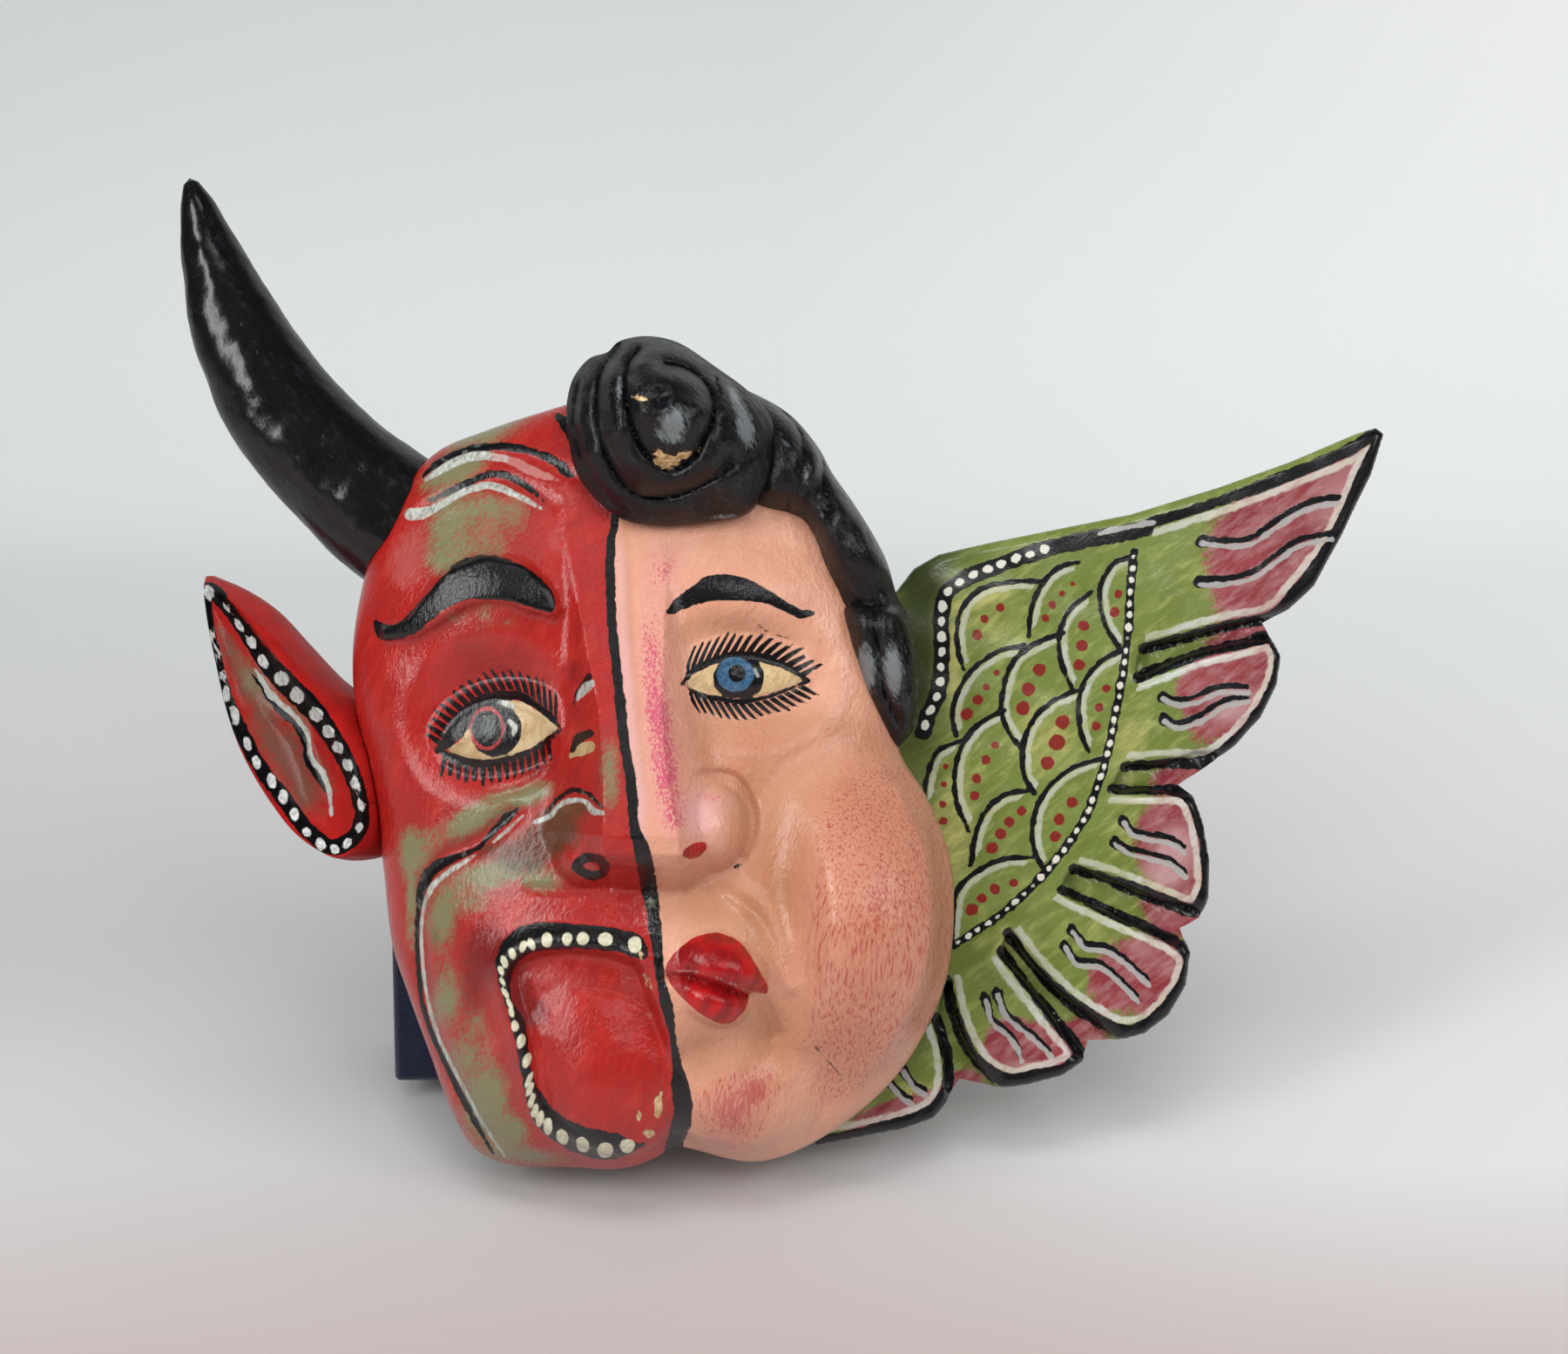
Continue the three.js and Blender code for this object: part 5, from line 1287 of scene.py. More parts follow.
class Finish:
    """Builds one node material. Most methods add nodes and return the socket that holds the result."""

    def __init__(self, name):
        self.material = bpy.data.materials.new(name)
        self.material.use_nodes = True
        self.tree = self.material.node_tree
        self.tree.nodes.clear()
        self.output = self.add("ShaderNodeOutputMaterial")
        self.shader = self.add("ShaderNodeBsdfPrincipled")
        self.tree.links.new(self.shader.outputs[0], self.output.inputs[0])
        self.place = self.add("ShaderNodeTexCoord").outputs["Object"]

    def add(self, kind, sockets=None, **settings):
        """A node with its settings; each of its sockets is linked or given a value."""
        node = self.tree.nodes.new(kind)
        for key, value in settings.items():
            setattr(node, key, value)
        for key, value in (sockets or {}).items():
            if isinstance(value, bpy.types.NodeSocket):
                self.tree.links.new(value, node.inputs[key])
            else:
                node.inputs[key].default_value = value
        return node

    def stored(self, name):
        """The three values of a stored attribute."""
        node = self.add("ShaderNodeAttribute", attribute_name=name)
        split = self.add("ShaderNodeSeparateXYZ", {0: node.outputs["Vector"]})
        return split.outputs[0], split.outputs[1], split.outputs[2]

    def calc(self, operation, a, b=0.0):
        """One step of arithmetic, by the name Blender gives it."""
        return self.add("ShaderNodeMath", {0: a, 1: b}, operation=operation).outputs[0]

    def times(self, a, b):
        """The product of two values."""
        return self.calc("MULTIPLY", a, b)

    def weighed(self, *rows):
        """Sum of values, each times its weight."""
        total = None
        for value, weight in rows:
            part = self.times(value, weight)
            total = part if total is None else self.calc("ADD", total, part)
        return total

    def ramp(self, value, low, high, to_low=0.0, to_high=1.0):
        """A value carried from one range over to another and kept within it."""
        sockets = {"Value": value, "From Min": low, "From Max": high, "To Min": to_low, "To Max": to_high}
        return self.add("ShaderNodeMapRange", sockets, clamp=True).outputs[0]

    def brushed(self, length, turn=0.0):
        """Coordinates drawn out along brush strokes, which lean to the right by the turn."""
        sockets = {"Vector": self.place, "Scale": (1, 1, length), "Rotation": (0, turn, 0)}
        return self.add("ShaderNodeMapping", sockets, vector_type="TEXTURE").outputs[0]

    def noise(self, scale, detail=3.0, roughness=0.5, place=None):
        """Grain between 0 and 1; the scale is about the number of its features in a metre."""
        sockets = {"Vector": place or self.place, "Scale": scale, "Detail": detail, "Roughness": roughness}
        return self.add("ShaderNodeTexNoise", sockets).outputs["Fac"]

    def wobble(self, reach):
        """Unevenness of a brush's edge, in pixels either way."""
        return self.ramp(self.noise(330, 3), 0.3, 0.7, -reach, reach)

    def mix(self, factor, a, b):
        """Blends two colours, each a socket, a setting or a web colour code."""
        a, b = (paint_colour(colour) if isinstance(colour, str) else colour for colour in (a, b))
        return self.add("ShaderNodeMix", {0: factor, 6: a, 7: b}, data_type="RGBA").outputs[2]

    def tint(self, colour, value, low, high, other, most=1.0):
        """Turns a colour into another one as a value goes from low to high."""
        return self.mix(self.ramp(value, low, high, 0, most), colour, other)

    def scumble(self, colour, density, grain, contrast, other, most=1.0):
        """Dry brushes another colour over a colour."""
        return self.mix(self.times(self.dry(density, grain, contrast), most), colour, other)

    def edge(self, distance, wobble, softness=0.5):
        """Covers where a signed distance is negative, with a slightly uneven edge."""
        uneven = self.calc("ADD", distance, wobble)
        return self.ramp(uneven, softness, -softness)

    def dry(self, density, grain, contrast):
        """Dry brushing: the denser the paint, the more of the grain it covers."""
        room = self.calc("SUBTRACT", density, grain)
        return self.ramp(room, -contrast, contrast)

    def relief(self, heights, share=1.0):
        """Bumps over each other, from heights and how far in metres each one rises."""
        normal = None
        for height, rise in heights:
            sockets = {"Height": height, "Distance": rise * share}
            if normal:
                sockets["Normal"] = normal
            normal = self.add("ShaderNodeBump", sockets).outputs[0]
        return normal

    def finish(self, colour, roughness, heights, specular=0.5, coat=0.0, coat_roughness=0.1,
               coat_relief=0.3):
        """Closes the material; a coat of varnish fills part of the relief."""
        for key, value in {
            "Base Color": colour, "Roughness": roughness, "Normal": self.relief(heights),
            "Specular IOR Level": specular, "Coat Weight": coat, "Coat Roughness": coat_roughness,
            "Coat IOR": 1.65, "Coat Normal": self.relief(heights, coat_relief),
        }.items():
            socket = self.shader.inputs[key]
            if isinstance(value, bpy.types.NodeSocket):
                self.tree.links.new(value, socket)
            else:
                socket.default_value = value
        return self.material


def face_paint(colours):
    """Enamel of both face halves with every painted line, dry brushed tint, chip, painted shade and
    highlight.
    """
    f = Finish("face paint")
    ink, chalk, cream = f.stored("paint_lines")
    red, blue, side = f.stored("paint_spots")
    chips, cracks, fine = f.stored("paint_wear")
    phase, reach, shown = f.stored("paint_lashes")
    green, olive, dark = f.stored("paint_devil")
    rouge, cheek, tan = f.stored("paint_cherub")
    pink, lilac, teeth = f.stored("paint_soft")
    grain = f.noise(900, 4, 0.7, f.brushed(1.8, 0.5))
    patch = f.noise(130, 5, 0.65, f.brushed(1.6, 0.4))
    streak = f.noise(800, 3, 0.6, f.brushed(7))
    sweep = f.noise(240, 4, 0.6, f.brushed(4, 0.5))
    hairline = f.noise(1500, 4, 0.65, f.brushed(9, 0.1))
    crayon = f.noise(1500, 3, 0.65, f.brushed(2.5, 0.1))
    mottled = f.weighed((grain, 0.62), (patch, 0.38))
    wobble = f.wobble(1.3)
    half_wobble = f.times(wobble, 0.5)

    devil = f.tint(colours.devil_red, patch, 0.35, 0.65, "#9d211c")
    devil = f.tint(devil, sweep, 0.5, 0.7, "#cc3a2e", 0.35)
    # Darker red laid here is painted shade
    devil = f.scumble(devil, dark, mottled, 0.16, "#6c1817", 0.8)
    # Pink, partly a painted highlight
    devil = f.scumble(devil, pink, mottled, 0.14, "#bb655f", 0.5)
    devil = f.mix(f.times(green, 0.4), devil, "#7d4034")
    muddy = f.tint(colours.devil_green, grain, 0.35, 0.65, "#807c5a")
    devil = f.scumble(devil, f.times(green, 0.8), mottled, 0.15, muddy, 0.86)
    # Olive-brown, partly painted shade
    devil = f.scumble(devil, f.times(olive, 0.9), mottled, 0.16, "#443f2a", 0.8)

    skin = f.tint(colours.cherub_skin, patch, 0.3, 0.7, "#d4957a")
    skin = f.tint(skin, sweep, 0.52, 0.72, "#e8b79c", 0.35)
    # Tan, partly painted shade in the recesses
    skin = f.tint(skin, tan, 0.05, 0.95, "#ad7652", 0.9)
    skin = f.tint(skin, lilac, 0.2, 0.8, "#dba9a6", 0.8)
    skin = f.tint(skin, cheek, 0.1, 0.9, "#c07c62", 0.85)
    rubbed = f.calc("ADD", f.ramp(cheek, 0.02, 0.5, 0, 0.43), f.ramp(cheek, 0.8, 1, 0, 0.2))
    skin = f.scumble(skin, rubbed, hairline, 0.07, "#a8423b", 0.85)
    skin = f.mix(f.times(rouge, 0.45), skin, "#dd9493")
    skin = f.scumble(skin, f.times(rouge, 0.66), crayon, 0.07, "#c43f68", 0.85)
    skin = f.tint(skin, f.noise(900, 2), 0.72, 0.75, "#8a5a48", 0.4)

    on_cherub = f.ramp(side, 20, 24)
    lips = f.tint("#8a0a10", sweep, 0.42, 0.62, "#b80b11")
    reds = f.mix(on_cherub, "#a23334", lips)
    black = f.tint(colours.ink, streak, 0.6, 0.8, "#3c3e42", 0.15)
    worn = f.times(f.ramp(f.noise(260, 4), 0.54, 0.62), f.ramp(olive, 0.1, 0.5))
    black = f.mix(worn, black, "#6f7466")
    fresh_cream = f.tint("#d9c193", grain, 0.4, 0.7, "#c4a270")
    dull_cream = f.tint("#a88658", patch, 0.35, 0.6, "#cdb88e")
    white = f.tint("#ccd0c8", streak, 0.35, 0.65, "#8f968c")
    tooth_white = f.tint("#dcd9c0", grain, 0.4, 0.6, "#c3bf9f")
    iris = f.tint(colours.iris_blue, grain, 0.35, 0.65, "#44708f")
    bare_wood = f.tint("#dcc298", grain, 0.4, 0.6, "#a98355")

    across = f.calc("ABSOLUTE", f.calc("SUBTRACT", f.calc("FRACT", phase), 0.5))
    taper = f.ramp(reach, 0.1, 1.0, 0.4, 0.19)
    lash = f.ramp(f.calc("SUBTRACT", across, taper), 0.06, -0.06)
    uneven_reach = f.calc("ADD", reach, f.times(wobble, 0.16))
    for limit in (f.ramp(uneven_reach, 1.02, 0.94), f.ramp(reach, -0.3, -0.1), f.ramp(shown, 0.5, 0.95)):
        lash = f.times(lash, limit)

    cover_cream = f.edge(cream, half_wobble)
    cover_ink = f.calc("MAXIMUM", f.edge(ink, wobble), lash)
    cover_chalk = f.times(f.edge(chalk, half_wobble, 0.9), f.ramp(streak, 0.72, 0.52, 0.6, 0.95))
    cover_teeth = f.edge(teeth, half_wobble)
    cover_cracks = f.edge(cracks, wobble)
    bare = f.edge(chips, f.times(wobble, 2.0))
    colour = f.mix(f.edge(side, wobble), skin, devil)
    for cover, paint in (
        (cover_cream, f.mix(f.ramp(side, -6, 6), dull_cream, fresh_cream)),
        (cover_ink, black),
        (cover_chalk, white),
        (cover_teeth, tooth_white),
        (f.edge(red, half_wobble), reds),
        (f.edge(blue, half_wobble), f.mix(on_cherub, "#3c4640", iris)),
        (f.times(f.edge(fine, wobble), 0.5), "#d09a94"),
        (f.times(cover_cracks, 0.8), "#4a2a20"),
        (bare, bare_wood),
    ):
        colour = f.mix(cover, colour, paint)

    raised = f.calc("MAXIMUM", cover_cream, cover_teeth)
    layers = f.weighed((cover_ink, 0.25), (cover_chalk, 0.4), (raised, 0.5), (bare, -1), (cover_cracks, -1))
    marks = f.calc("ADD", streak, grain)
    heights = [(f.noise(60, 4), 0.0015), (sweep, 0.00045), (marks, 0.0004), (layers, 0.0002)]
    roughness = f.weighed((f.ramp(grain, 0.3, 0.7, 0.35, 0.5), 1), (bare, 0.4))
    return f.finish(colour, roughness, heights, specular=0.15, coat=0.7, coat_roughness=0.1, coat_relief=0.4)


def black_paint(colours, name, coat, coat_roughness, coat_relief, sheen, chips):
    """Gloss black enamel, brushed over carved wood, with a worn grey sheen and perhaps painted highlights,
    cracks and bare chips."""
    f = Finish(name)
    streak = f.noise(380, 5, 0.7, f.brushed(3.5, -0.6))
    fine = f.noise(800, 3, 0.6)
    patch = f.noise(60, 4, 0.6)
    worn = f.times(f.ramp(streak, 0.53, 0.66), f.ramp(patch, 0.4, 0.55, 0.15, sheen))
    colour = f.mix(worn, colours.ink, "#474f53")
    colour = f.tint(colour, fine, 0.68, 0.72, "#7a7466", 0.3)
    heights = [(patch, 0.0012), (streak, 0.0007), (fine, 0.0002)]
    roughness = f.ramp(streak, 0.35, 0.65, 0.4, 0.6)
    if chips:
        bare, cracks, _ = f.stored("paint_wear")
        # Painted highlights: streaky grey laid where light catches the hair
        painted_highlight, _, _ = f.stored("paint_hair")
        strands = f.noise(1000, 5, 0.8, f.brushed(4, -0.6))
        colour = f.scumble(colour, f.times(painted_highlight, 0.75), strands, 0.11, "#868e90", 0.68)
        wobble = f.wobble(3)
        cover = f.edge(bare, wobble)
        colour = f.mix(cover, colour, f.tint("#e0c797", fine, 0.4, 0.6, "#ab8552"))
        colour = f.mix(f.times(f.edge(cracks, wobble), 0.7), colour, "#050505")
        roughness = f.weighed((roughness, 1), (cover, 0.35))
        heights.append((f.calc("SUBTRACT", 1, cover), 0.0005))
    return f.finish(colour, roughness, heights, specular=0.1, coat=coat, coat_roughness=coat_roughness,
                    coat_relief=coat_relief)


def raw_wood(colours):
    """Bare carved softwood, darker along its growth rings."""
    f = Finish("bare wood")
    rings = f.noise(90, 4, 0.6, f.brushed(12))
    fibre = f.noise(500, 3, 0.6, f.brushed(16))
    colour = f.tint(colours.bare_wood, rings, 0.35, 0.65, "#a97f4f")
    colour = f.tint(colour, fibre, 0.5, 0.75, "#7d5a36", 0.6)
    return f.finish(colour, f.ramp(fibre, 0.3, 0.7, 0.65, 0.85), [(f.noise(70, 3), 0.001), (fibre, 0.0002)])


def ear_paint(colours):
    """Red enamel with a dotted black band round a muddy bowl."""
    f = Finish("ear paint")
    ink, chalk, dots = f.stored("paint_lines")
    green, olive, _ = f.stored("paint_devil")
    grain = f.noise(900, 4, 0.7, f.brushed(1.8, 0.5))
    patch = f.noise(130, 5, 0.65)
    streak = f.noise(500, 3, 0.6, f.brushed(5, -0.5))
    mottled = f.weighed((grain, 0.4), (patch, 0.6))
    wobble = f.wobble(1.3)
    colour = f.tint(colours.devil_red, patch, 0.35, 0.65, "#941d1a")
    colour = f.scumble(colour, f.times(olive, 0.72), mottled, 0.14, "#5f463a", 0.85)
    colour = f.scumble(colour, green, mottled, 0.2, "#757259", 0.75)
    cover_ink = f.edge(ink, wobble)
    cover_chalk = f.times(f.edge(chalk, wobble), f.ramp(streak, 0.7, 0.5, 0.3, 1))
    cover_dots = f.edge(dots, wobble)
    dot_white = f.tint("#d6d9d4", grain, 0.4, 0.6, "#a3a7a3")
    for cover, paint in ((cover_ink, colours.ink), (cover_chalk, "#a4a8a1"), (cover_dots, dot_white)):
        colour = f.mix(cover, colour, paint)
    layers = f.weighed((cover_ink, 0.3), (cover_dots, 0.8))
    heights = [(f.noise(60, 3), 0.001), (f.calc("ADD", streak, grain), 0.0002), (layers, 0.00024)]
    return f.finish(colour, f.ramp(grain, 0.3, 0.7, 0.45, 0.6), heights, specular=0.05, coat=0.15)


def wing_paint(colours):
    """Green enamel fading to brownish red feather ends, with scales, dotted bands and outlines."""
    f = Finish("wing paint")
    ink, chalk, dots = f.stored("paint_lines")
    red, grey, _ = f.stored("paint_spots")
    tips, shade, yellow = f.stored("paint_devil")
    pink, depth, _ = f.stored("paint_soft")
    streak = f.noise(420, 4, 0.65, f.brushed(5, 0.9))
    grain = f.noise(900, 3, 0.7)
    patch = f.noise(110, 4, 0.6, f.brushed(2.5, 0.9))
    sponge = f.weighed((grain, 0.6), (patch, 0.4))
    wobble = f.wobble(1.4)

    colour = f.tint(colours.wing_green, patch, 0.35, 0.65, "#66742f")
    colour = f.tint(colour, streak, 0.5, 0.7, "#9aa45c", 0.55)
    colour = f.tint(colour, f.times(yellow, streak), 0.15, 0.45, "#b4b06a", 0.85)
    colour = f.tint(colour, shade, 0.1, 0.9, "#171d0d", 0.8)
    brownish = f.tint(colours.wing_red, patch, 0.35, 0.65, "#7c2a30")
    brownish = f.tint(brownish, streak, 0.4, 0.7, "#b18683", 0.62)
    colour = f.scumble(colour, tips, sponge, 0.07, brownish)
    colour = f.scumble(colour, pink, streak, 0.2, "#c4a0a0", 0.7)

    white = f.tint("#c3c9c2", patch, 0.35, 0.65, "#b9b79a")
    white = f.tint(white, tips, 0.3, 0.8, "#c4a9a6", 0.45)
    black = f.tint(colours.ink, streak, 0.55, 0.75, "#4c5257", 0.25)
    cover_ink = f.edge(ink, wobble)
    cover_chalk = f.times(f.edge(chalk, wobble, 1.2), f.ramp(streak, 0.7, 0.5, 0.4, 0.95))
    cover_chalk = f.times(cover_chalk, f.ramp(tips, 0.0, 0.4, 0.75, 1))
    cover_dots = f.edge(dots, wobble)
    for cover, paint in (
        (cover_chalk, white),
        (cover_ink, black),
        (f.times(f.edge(grey, wobble), 0.9), "#a5a3a0"),
        (f.times(f.edge(red, f.times(wobble, 0.8)), 0.95), "#7e1218"),
        (cover_dots, "#d3d1c4"),
    ):
        colour = f.mix(cover, colour, paint)
    colour = f.mix(f.ramp(depth, 0.3, 1.2), "#8b6f48", colour)

    layers = f.weighed((cover_ink, 0.3), (cover_dots, 0.6), (cover_chalk, 0.35))
    marks = f.weighed((streak, 1), (grain, 0.5))
    heights = [(f.noise(50, 3), 0.0008), (marks, 0.0002), (layers, 0.00022)]
    return f.finish(colour, f.ramp(streak, 0.3, 0.7, 0.4, 0.6), heights, specular=0.2, coat=0.5,
                    coat_roughness=0.18)


def stand_cloth(colours):
    """Dark napped cloth."""
    f = Finish("navy cloth")
    nap = f.noise(1800, 3, 0.7)
    colour = f.tint(colours.stand_navy, nap, 0.4, 0.7, "#1d2346")
    colour = f.tint(colour, f.noise(60, 3), 0.45, 0.7, "#0a0c1c", 0.4)
    material = f.finish(colour, 0.95, [(nap, 0.0004)], specular=0.2)
    f.shader.inputs["Sheen Weight"].default_value = 0.35
    f.shader.inputs["Sheen Roughness"].default_value = 0.5
    return material


def stage_paper():
    """Plain matt paper, graded with painted light and shade: darker and warmer in front of the mask as a
    painted shadow with a painted red reflection of it, lighter behind it and to the right as painted light.
    """
    f = Finish("sweep paper")
    across, deep, high = f.add("ShaderNodeSeparateXYZ", {0: f.place}).outputs
    colour = f.tint("#d1d0cf", f.noise(3, 2), 0.35, 0.65, "#cccbcb")
    # Painted light and shade: lighter behind the mask and towards the right, darker up the backdrop
    colour = f.tint(colour, deep, 0.15, 0.75, "#edefee")
    colour = f.tint(colour, high, 0.04, 0.32, "#dcdfde")
    colour = f.tint(colour, across, 0.0, 0.55, "#fbfcfb", 0.9)
    # Painted shadow and painted red reflection of the mask on the floor in front of it
    colour = f.tint(colour, deep, -0.02, -0.16, "#bdacaa")
    return f.finish(colour, 0.85, [(f.noise(400, 2), 0.00002)], specular=0.2)


# Settings

class MaskSizes(bpy.types.PropertyGroup):
    """Fineness of the carved surfaces."""

    face_sectors: bpy.props.IntProperty(
        name="Face sectors", description="Divisions round the face", default=500, min=60)
    face_rings: bpy.props.IntProperty(
        name="Face rings", description="Divisions from the middle of the face to its outline",
        default=132, min=20)
    wing_step: bpy.props.FloatProperty(
        name="Wing step", description="Distance between points of the wing's carved surface",
        default=0.0007, min=0.0004, unit="LENGTH")


def colour_setting(name, text, code):
    """A setting for one colour, whose default is given as a web colour code."""
    return bpy.props.FloatVectorProperty(
        name=name, description=text, default=paint_colour(code), size=4, min=0, max=1, subtype="COLOR")


class MaskColours(bpy.types.PropertyGroup):
    """Colours of the paints and of the cloth."""

    devil_red: colour_setting("Devil red", "Main colour of the devil's half", "#ac1d18")
    devil_green: colour_setting("Devil green", "Dry brushed patches on the devil's half", "#6d845c")
    cherub_skin: colour_setting("Cherub skin", "Main colour of the cherub's half", "#dca286")
    iris_blue: colour_setting("Iris blue", "Iris of the cherub's eye", "#264a68")
    ink: colour_setting("Ink", "Black of the lines, the hair and the horn", "#0a0b0e")
    wing_green: colour_setting("Wing green", "Main colour of the wing", "#728240")
    wing_red: colour_setting("Wing red", "Feather ends", "#8e3a40")
    bare_wood: colour_setting("Bare wood", "Unpainted wood in the hollow", "#c79a66")
    stand_navy: colour_setting("Stand navy", "Cloth of the stand", "#10142f")


# Operators

class MASK_OT_face(bpy.types.Operator):
    """Carves and paints the face with its hair"""
    bl_idname = "mask.face"
    bl_label = "Carve the face"

    def execute(self, context):
        sizes = context.scene.mask_sizes
        colours = context.scene.mask_colours
        hair = black_paint(colours, "hair paint", coat=0.5, coat_roughness=0.2, coat_relief=0.6, sheen=0.3,
                           chips=True)
        finishes = [face_paint(colours), hair, raw_wood(colours)]
        face = head("face_carving", sizes.face_sectors, sizes.face_rings)
        front_curl, locks, inside = curl(), side_hair(), hollow()
        for part, finish in ((face, PAINTED), (front_curl, HAIR), (locks, HAIR), (inside, BARE)):
            for material in finishes:
                part.data.materials.append(material)
            part.data.polygons.foreach_set("material_index", np.full(len(part.data.polygons), finish))
        cut(face, front_curl, "UNION")
        cut(face, locks, "UNION")
        cut(face, inside, "DIFFERENCE")
        bare_rim(face)
        smooth_shading(face, 40)
        paint_face(face)
        finish_piece(face, "face")
        return {"FINISHED"}


class MASK_OT_horn(bpy.types.Operator):
    """Carves and paints the horn"""
    bl_idname = "mask.horn"
    bl_label = "Carve the horn"

    def execute(self, context):
        angle = np.arange(HORN_SIDES) / HORN_SIDES * 2 * math.pi
        path = smooth_path(HORN, HORN_STEPS)
        directions = np.gradient(path[:, :2], axis=0)
        directions /= np.linalg.norm(directions, axis=1)[:, None]
        lofted = []
        for (u, w, d, radius), (du, dw) in zip(path, directions):
            across, up = np.cos(angle), np.sin(angle)
            side = across * radius
            ring = np.stack([u + dw * side, w - du * side, d + up * radius * HORN_FLATNESS], axis=1)
            outward = np.stack([dw * across, -du * across, up], axis=1)
            uneven = sum(waves(ring, *row) for row in HORN_UNEVENNESS)
            ring = ring + outward * (uneven * min(1, radius / HORN_FULL_MARKS))[:, None]
            lofted.append(placed(*ring.T))
        root, tip = HORN[0], HORN[-1]
        point = placed(tip[0] + HORN_POINT[0], tip[1] + HORN_POINT[1], tip[2])
        horn = loft("horn_carving", placed(*root[:3]), lofted, point)
        cut(horn, seat(), "DIFFERENCE")
        coat_with(horn, black_paint(context.scene.mask_colours, "horn paint", coat=0.55, coat_roughness=0.16,
                                    coat_relief=0.14, sheen=0.05, chips=False))
        smooth_shading(horn, 50)
        finish_piece(horn, "horn")
        return {"FINISHED"}


class MASK_OT_ear(bpy.types.Operator):
    """Carves and paints the ear"""
    bl_idname = "mask.ear"
    bl_label = "Carve the ear"

    def execute(self, context):
        radius_at = polar_outline(EAR_OUTLINE, EAR_CENTRE)
        rim_at = polar_outline(EAR_RIM, EAR_CENTRE)
        tip = math.atan2(EAR_OUTLINE[0][1] - EAR_CENTRE[1], EAR_OUTLINE[0][0] - EAR_CENTRE[0])
        angle = tip + np.arange(EAR_SIDES) / EAR_SIDES * 2 * math.pi
        rim, edge = rim_at(angle), radius_at(angle)

        def ring(radius, height_at):
            u, w = around(EAR_CENTRE, radius, angle)
            plane = EAR_RIM_DEPTH + EAR_SLOPE * (u - EAR_CENTRE[0])
            return placed(u, w, height_at(plane, u, w))

        lofted = []
        for share in np.linspace(0.03, 0.97, 34):
            def bowl(plane, u, w, share=share):
                ridge = np.exp(-(near_path(u, w, EAR_RIDGE)[0] / EAR_RIDGE_HALF_WIDTH) ** 2)
                sink = EAR_BOWL * (1 - share ** 2) ** 0.8
                return plane - sink + EAR_RIDGE_RISE * ridge * (1 - share)
            lofted.append(ring(rim * share, bowl))
        for t, lift, fall in EAR_EDGE_PROFILE:
            def side(plane, u, w, lift=lift, fall=fall):
                return (plane + lift) * (1 - fall) + EAR_BACK * fall
            lofted.append(ring(rim + (edge - rim) * t, side))
        for share in (0.97, 0.93, 0.6, 0.3):
            lofted.append(ring(edge * share, lambda plane, u, w: EAR_BACK + 0 * u))
        centre_plane = EAR_RIM_DEPTH - EAR_BOWL
        ear = loft("ear_carving", placed(*EAR_CENTRE, centre_plane), lofted, placed(*EAR_CENTRE, EAR_BACK))
        cut(ear, seat(), "DIFFERENCE")
        coat_with(ear, ear_paint(context.scene.mask_colours))
        smooth_shading(ear, 50)
        paint_ear(ear)
        finish_piece(ear, "ear")
        return {"FINISHED"}


class MASK_OT_wing(bpy.types.Operator):
    """Cuts and paints the wing board"""
    bl_idname = "mask.wing"
    bl_label = "Cut the wing"

    def execute(self, context):
        step = context.scene.mask_sizes.wing_step / MM
        outline = np.array(WING_OUTLINE, float)
        low, high = outline.min(0) - WING_MARGIN, outline.max(0) + WING_MARGIN
        us = np.arange(low[0], high[0], step)
        ws = np.arange(low[1], high[1], step)
        u, w = (grid.ravel() for grid in np.meshgrid(us, ws))
        inside = -area(u, w, WING_OUTLINE, smooth=False, reach=CARVING_REACH)
        thick = wing_thickness(u)
        from_edge = 1 - np.clip(inside / WING_BEVEL, 0, 1)
        height = thick - WING_BEVEL * (1 - np.sqrt(1 - from_edge ** 2))
        for gap in FEATHER_GAPS:
            sunk = area(u, w, gap, reach=CARVING_REACH)
            floor = GAP_FLOOR + GAP_UNEVENNESS * np.sin(u * 0.8 + w * 0.5)
            height = height - np.clip(height - floor, 0, None) * ease(*GAP_EDGE, sunk)
            height = height - GAP_GROOVE * np.exp(-(sunk / GAP_GROOVE_HALF_WIDTH) ** 2)
        height = height + waves(np.stack([u, w, 0 * u], axis=1), *WING_UNEVENNESS)
        height = np.where(inside < -1, thick - WING_BEVEL, height)
        count = len(us)
        top = placed(u, w, height)
        bottom = placed(u, w, WING_UNDERSIDE)
        index = np.arange(len(u)).reshape(len(ws), count)
        corners = [index[:-1, :-1], index[:-1, 1:], index[1:, 1:], index[1:, :-1]]
        quads = np.stack(corners, axis=-1).reshape(-1, 4)
        border = np.concatenate([index[0, :], index[1:, -1], index[-1, -2::-1], index[-2:0:-1, 0]])
        after = np.roll(border, -1)
        base = len(u) + np.arange(len(border))
        points = np.vstack([top, bottom[border]])
        walls = np.stack([border, base, np.roll(base, -1), after], axis=1)
        faces = quads.tolist() + walls.tolist() + [list(base[::-1])]
        board = new_piece("wing_carving", points, faces)
        rim = np.vstack([placed(*outline.T, 0.0), placed(*outline.T, WING_BLANK)])
        n = len(outline)
        sides = [(i, (i + 1) % n, n + (i + 1) % n, n + i) for i in range(n)]
        blank = new_piece("blank", rim, sides + [range(n - 1, -1, -1), range(n, 2 * n)])
        for piece in (board, blank):
            turn_outwards(piece.data)
        cut(board, blank, "INTERSECT")
        cut(board, seat(), "DIFFERENCE")
        coat_with(board, wing_paint(context.scene.mask_colours))
        smooth_shading(board, 40)
        paint_wing(board)
        finish_piece(board, "wing")
        return {"FINISHED"}


# Rounding of the cloth at the block's edges, in millimetres, the size in square metres above which a side
# is flat, and how close together in metres two vertices are one
STAND_ROUNDING = 2.0
FLAT_AREA = 0.0008
SAME_PLACE = 0.00002


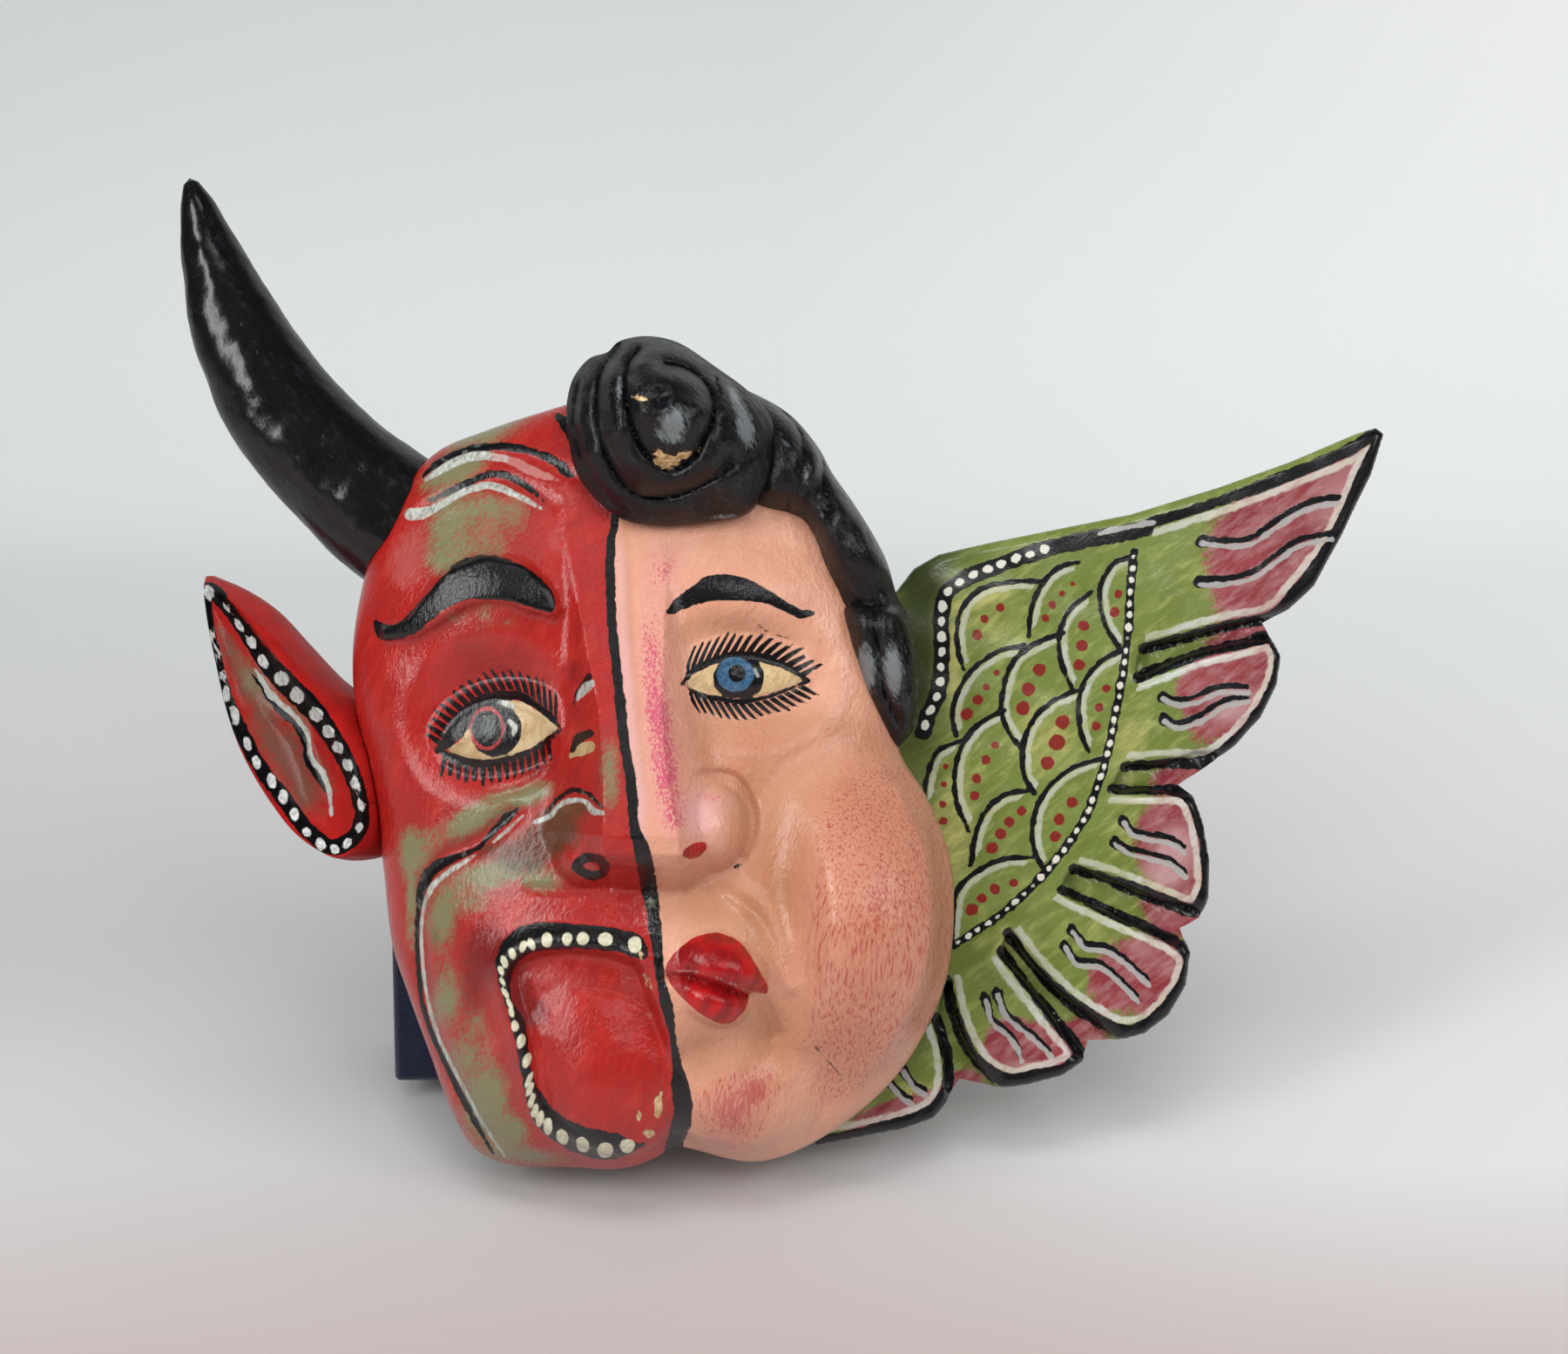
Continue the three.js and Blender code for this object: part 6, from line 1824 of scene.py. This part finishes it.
class MASK_OT_stand(bpy.types.Operator):
    """Covers the stand with napped cloth"""
    bl_idname = "mask.stand"
    bl_label = "Cover the stand"

    def execute(self, context):
        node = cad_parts["stand"]
        graph = context.evaluated_depsgraph_get()
        mesh = bpy.data.meshes.new_from_object(node.evaluated_get(graph))
        mesh.transform(node.matrix_world)
        block = bmesh.new()
        block.from_mesh(mesh)
        bmesh.ops.remove_doubles(block, verts=block.verts, dist=SAME_PLACE)
        bmesh.ops.dissolve_limit(block, angle_limit=math.radians(1), verts=block.verts, edges=block.edges)
        bmesh.ops.bevel(block, geom=list(block.edges), offset=STAND_ROUNDING * MM, segments=4, profile=0.5,
                        affect="EDGES")
        block.to_mesh(mesh)
        block.free()
        for polygon in mesh.polygons:
            polygon.use_smooth = polygon.area < FLAT_AREA
        cover = linked("stand_cover", mesh)
        coat_with(cover, stand_cloth(context.scene.mask_colours))
        finish_piece(cover, "stand")
        return {"FINISHED"}


# Paper sweep, as depth and height in metres, and half its width
SWEEP_PROFILE = [
    (-1.2, 0.0), (0.55, 0.0), (0.72, 0.02), (0.84, 0.1), (0.9, 0.25), (0.92, 0.5), (0.92, 2.4),
]
SWEEP_HALF_WIDTH = 2.4
ROOM_COLOUR = (0.93, 0.97, 1.0, 1.0)
ROOM_STRENGTH = 0.33
# Lamps: place and aim in metres, width, height, power in watts and whether the enamel reflects them
LAMPS = [
    ("fill", (0.0, -1.15, 0.95), (0.0, 0.0, 0.12), 0.8, 0.6, 5.3, False),
    ("overhead", (-0.1, -0.5, 1.2), (0.0, 0.1, 0.1), 0.9, 0.5, 4.4, False),
    ("ceiling", (-0.1, -0.55, 1.2), (0.0, 0.1, 0.1), 0.3, 0.18, 0.6, True),
    ("window", (-0.92, -0.92, 0.75), (0.0, 0.0, 0.15), 0.32, 0.9, 8.0, True),
    ("right window", (1.0, -0.8, 0.85), (0.0, 0.0, 0.15), 0.4, 0.6, 3.4, True),
    ("glint", (0.28, -0.95, 0.72), (0.0, 0.0, 0.15), 0.2, 0.16, 1.0, True),
    ("backdrop", (0.7, 0.25, 1.1), (0.75, 0.9, 0.4), 0.6, 0.4, 0.9, False),
]


def aimed(thing, at, aim):
    """Puts a lamp or a camera in its place and turns it to what it looks at."""
    thing.location = at
    thing.rotation_euler = (Vector(aim) - Vector(at)).to_track_quat("-Z", "Y").to_euler()


class MASK_OT_stage(bpy.types.Operator):
    """Sets the floor, the backdrop, the lights and the camera"""
    bl_idname = "mask.stage"
    bl_label = "Set the stage"

    def execute(self, context):
        scene = context.scene
        curve = smooth_path(SWEEP_PROFILE, 8)
        points = [(x, y, z) for y, z in curve for x in (-SWEEP_HALF_WIDTH, SWEEP_HALF_WIDTH)]
        faces = [(2 * i, 2 * i + 1, 2 * i + 3, 2 * i + 2) for i in range(len(curve) - 1)]
        sweep = new_piece("sweep", points, faces)
        coat_with(sweep, stage_paper())
        sweep.data.polygons.foreach_set("use_smooth", np.ones(len(faces), bool))

        world = bpy.data.worlds.new("room")
        world.use_nodes = True
        background = world.node_tree.nodes["Background"]
        background.inputs["Color"].default_value = ROOM_COLOUR
        background.inputs["Strength"].default_value = ROOM_STRENGTH
        world.cycles_visibility.glossy = False
        scene.world = world
        for name, at, aim, width, height, power, reflected in LAMPS:
            lamp = bpy.data.lights.new(name, "AREA")
            lamp.shape = "RECTANGLE"
            lamp.size, lamp.size_y, lamp.energy = width, height, power
            light = linked(name, lamp)
            light.visible_glossy = reflected
            aimed(light, at, aim)

        lens = bpy.data.cameras.new("camera")
        lens.sensor_width = SENSOR_WIDTH
        lens.lens = FOCAL_PIXELS / PHOTO_WIDTH * SENSOR_WIDTH
        camera = linked("camera", lens)
        aimed(camera, placed(*EYE), placed(EYE[0], EYE[1], 0.0))
        scene.camera = camera
        scene.view_settings.view_transform = "Standard"
        return {"FINISHED"}


class MASK_PT_panel(bpy.types.Panel):
    """Lists the steps that build the mask"""
    bl_label = "Mask"
    bl_idname = "MASK_PT_panel"
    bl_space_type = "VIEW_3D"
    bl_region_type = "UI"
    bl_category = "Mask"

    def draw(self, context):
        layout = self.layout
        for group in (context.scene.mask_sizes, context.scene.mask_colours):
            for name in group.bl_rna.properties.keys():
                if name not in ("rna_type", "name"):
                    layout.prop(group, name)
        for step in STEPS:
            layout.operator(step.bl_idname)


STEPS = (MASK_OT_stage, MASK_OT_face, MASK_OT_horn, MASK_OT_ear, MASK_OT_wing, MASK_OT_stand)
CLASSES = (MaskSizes, MaskColours, *STEPS, MASK_PT_panel)


def register():
    for item in CLASSES:
        bpy.utils.register_class(item)
    bpy.types.Scene.mask_sizes = bpy.props.PointerProperty(type=MaskSizes)
    bpy.types.Scene.mask_colours = bpy.props.PointerProperty(type=MaskColours)


def unregister():
    del bpy.types.Scene.mask_colours
    del bpy.types.Scene.mask_sizes
    for item in reversed(CLASSES):
        bpy.utils.unregister_class(item)


def main():
    """Builds everything in order."""
    register()
    for step in STEPS:
        group, name = step.bl_idname.split(".")
        getattr(getattr(bpy.ops, group), name)()


if __name__ == "__main__":
    main()
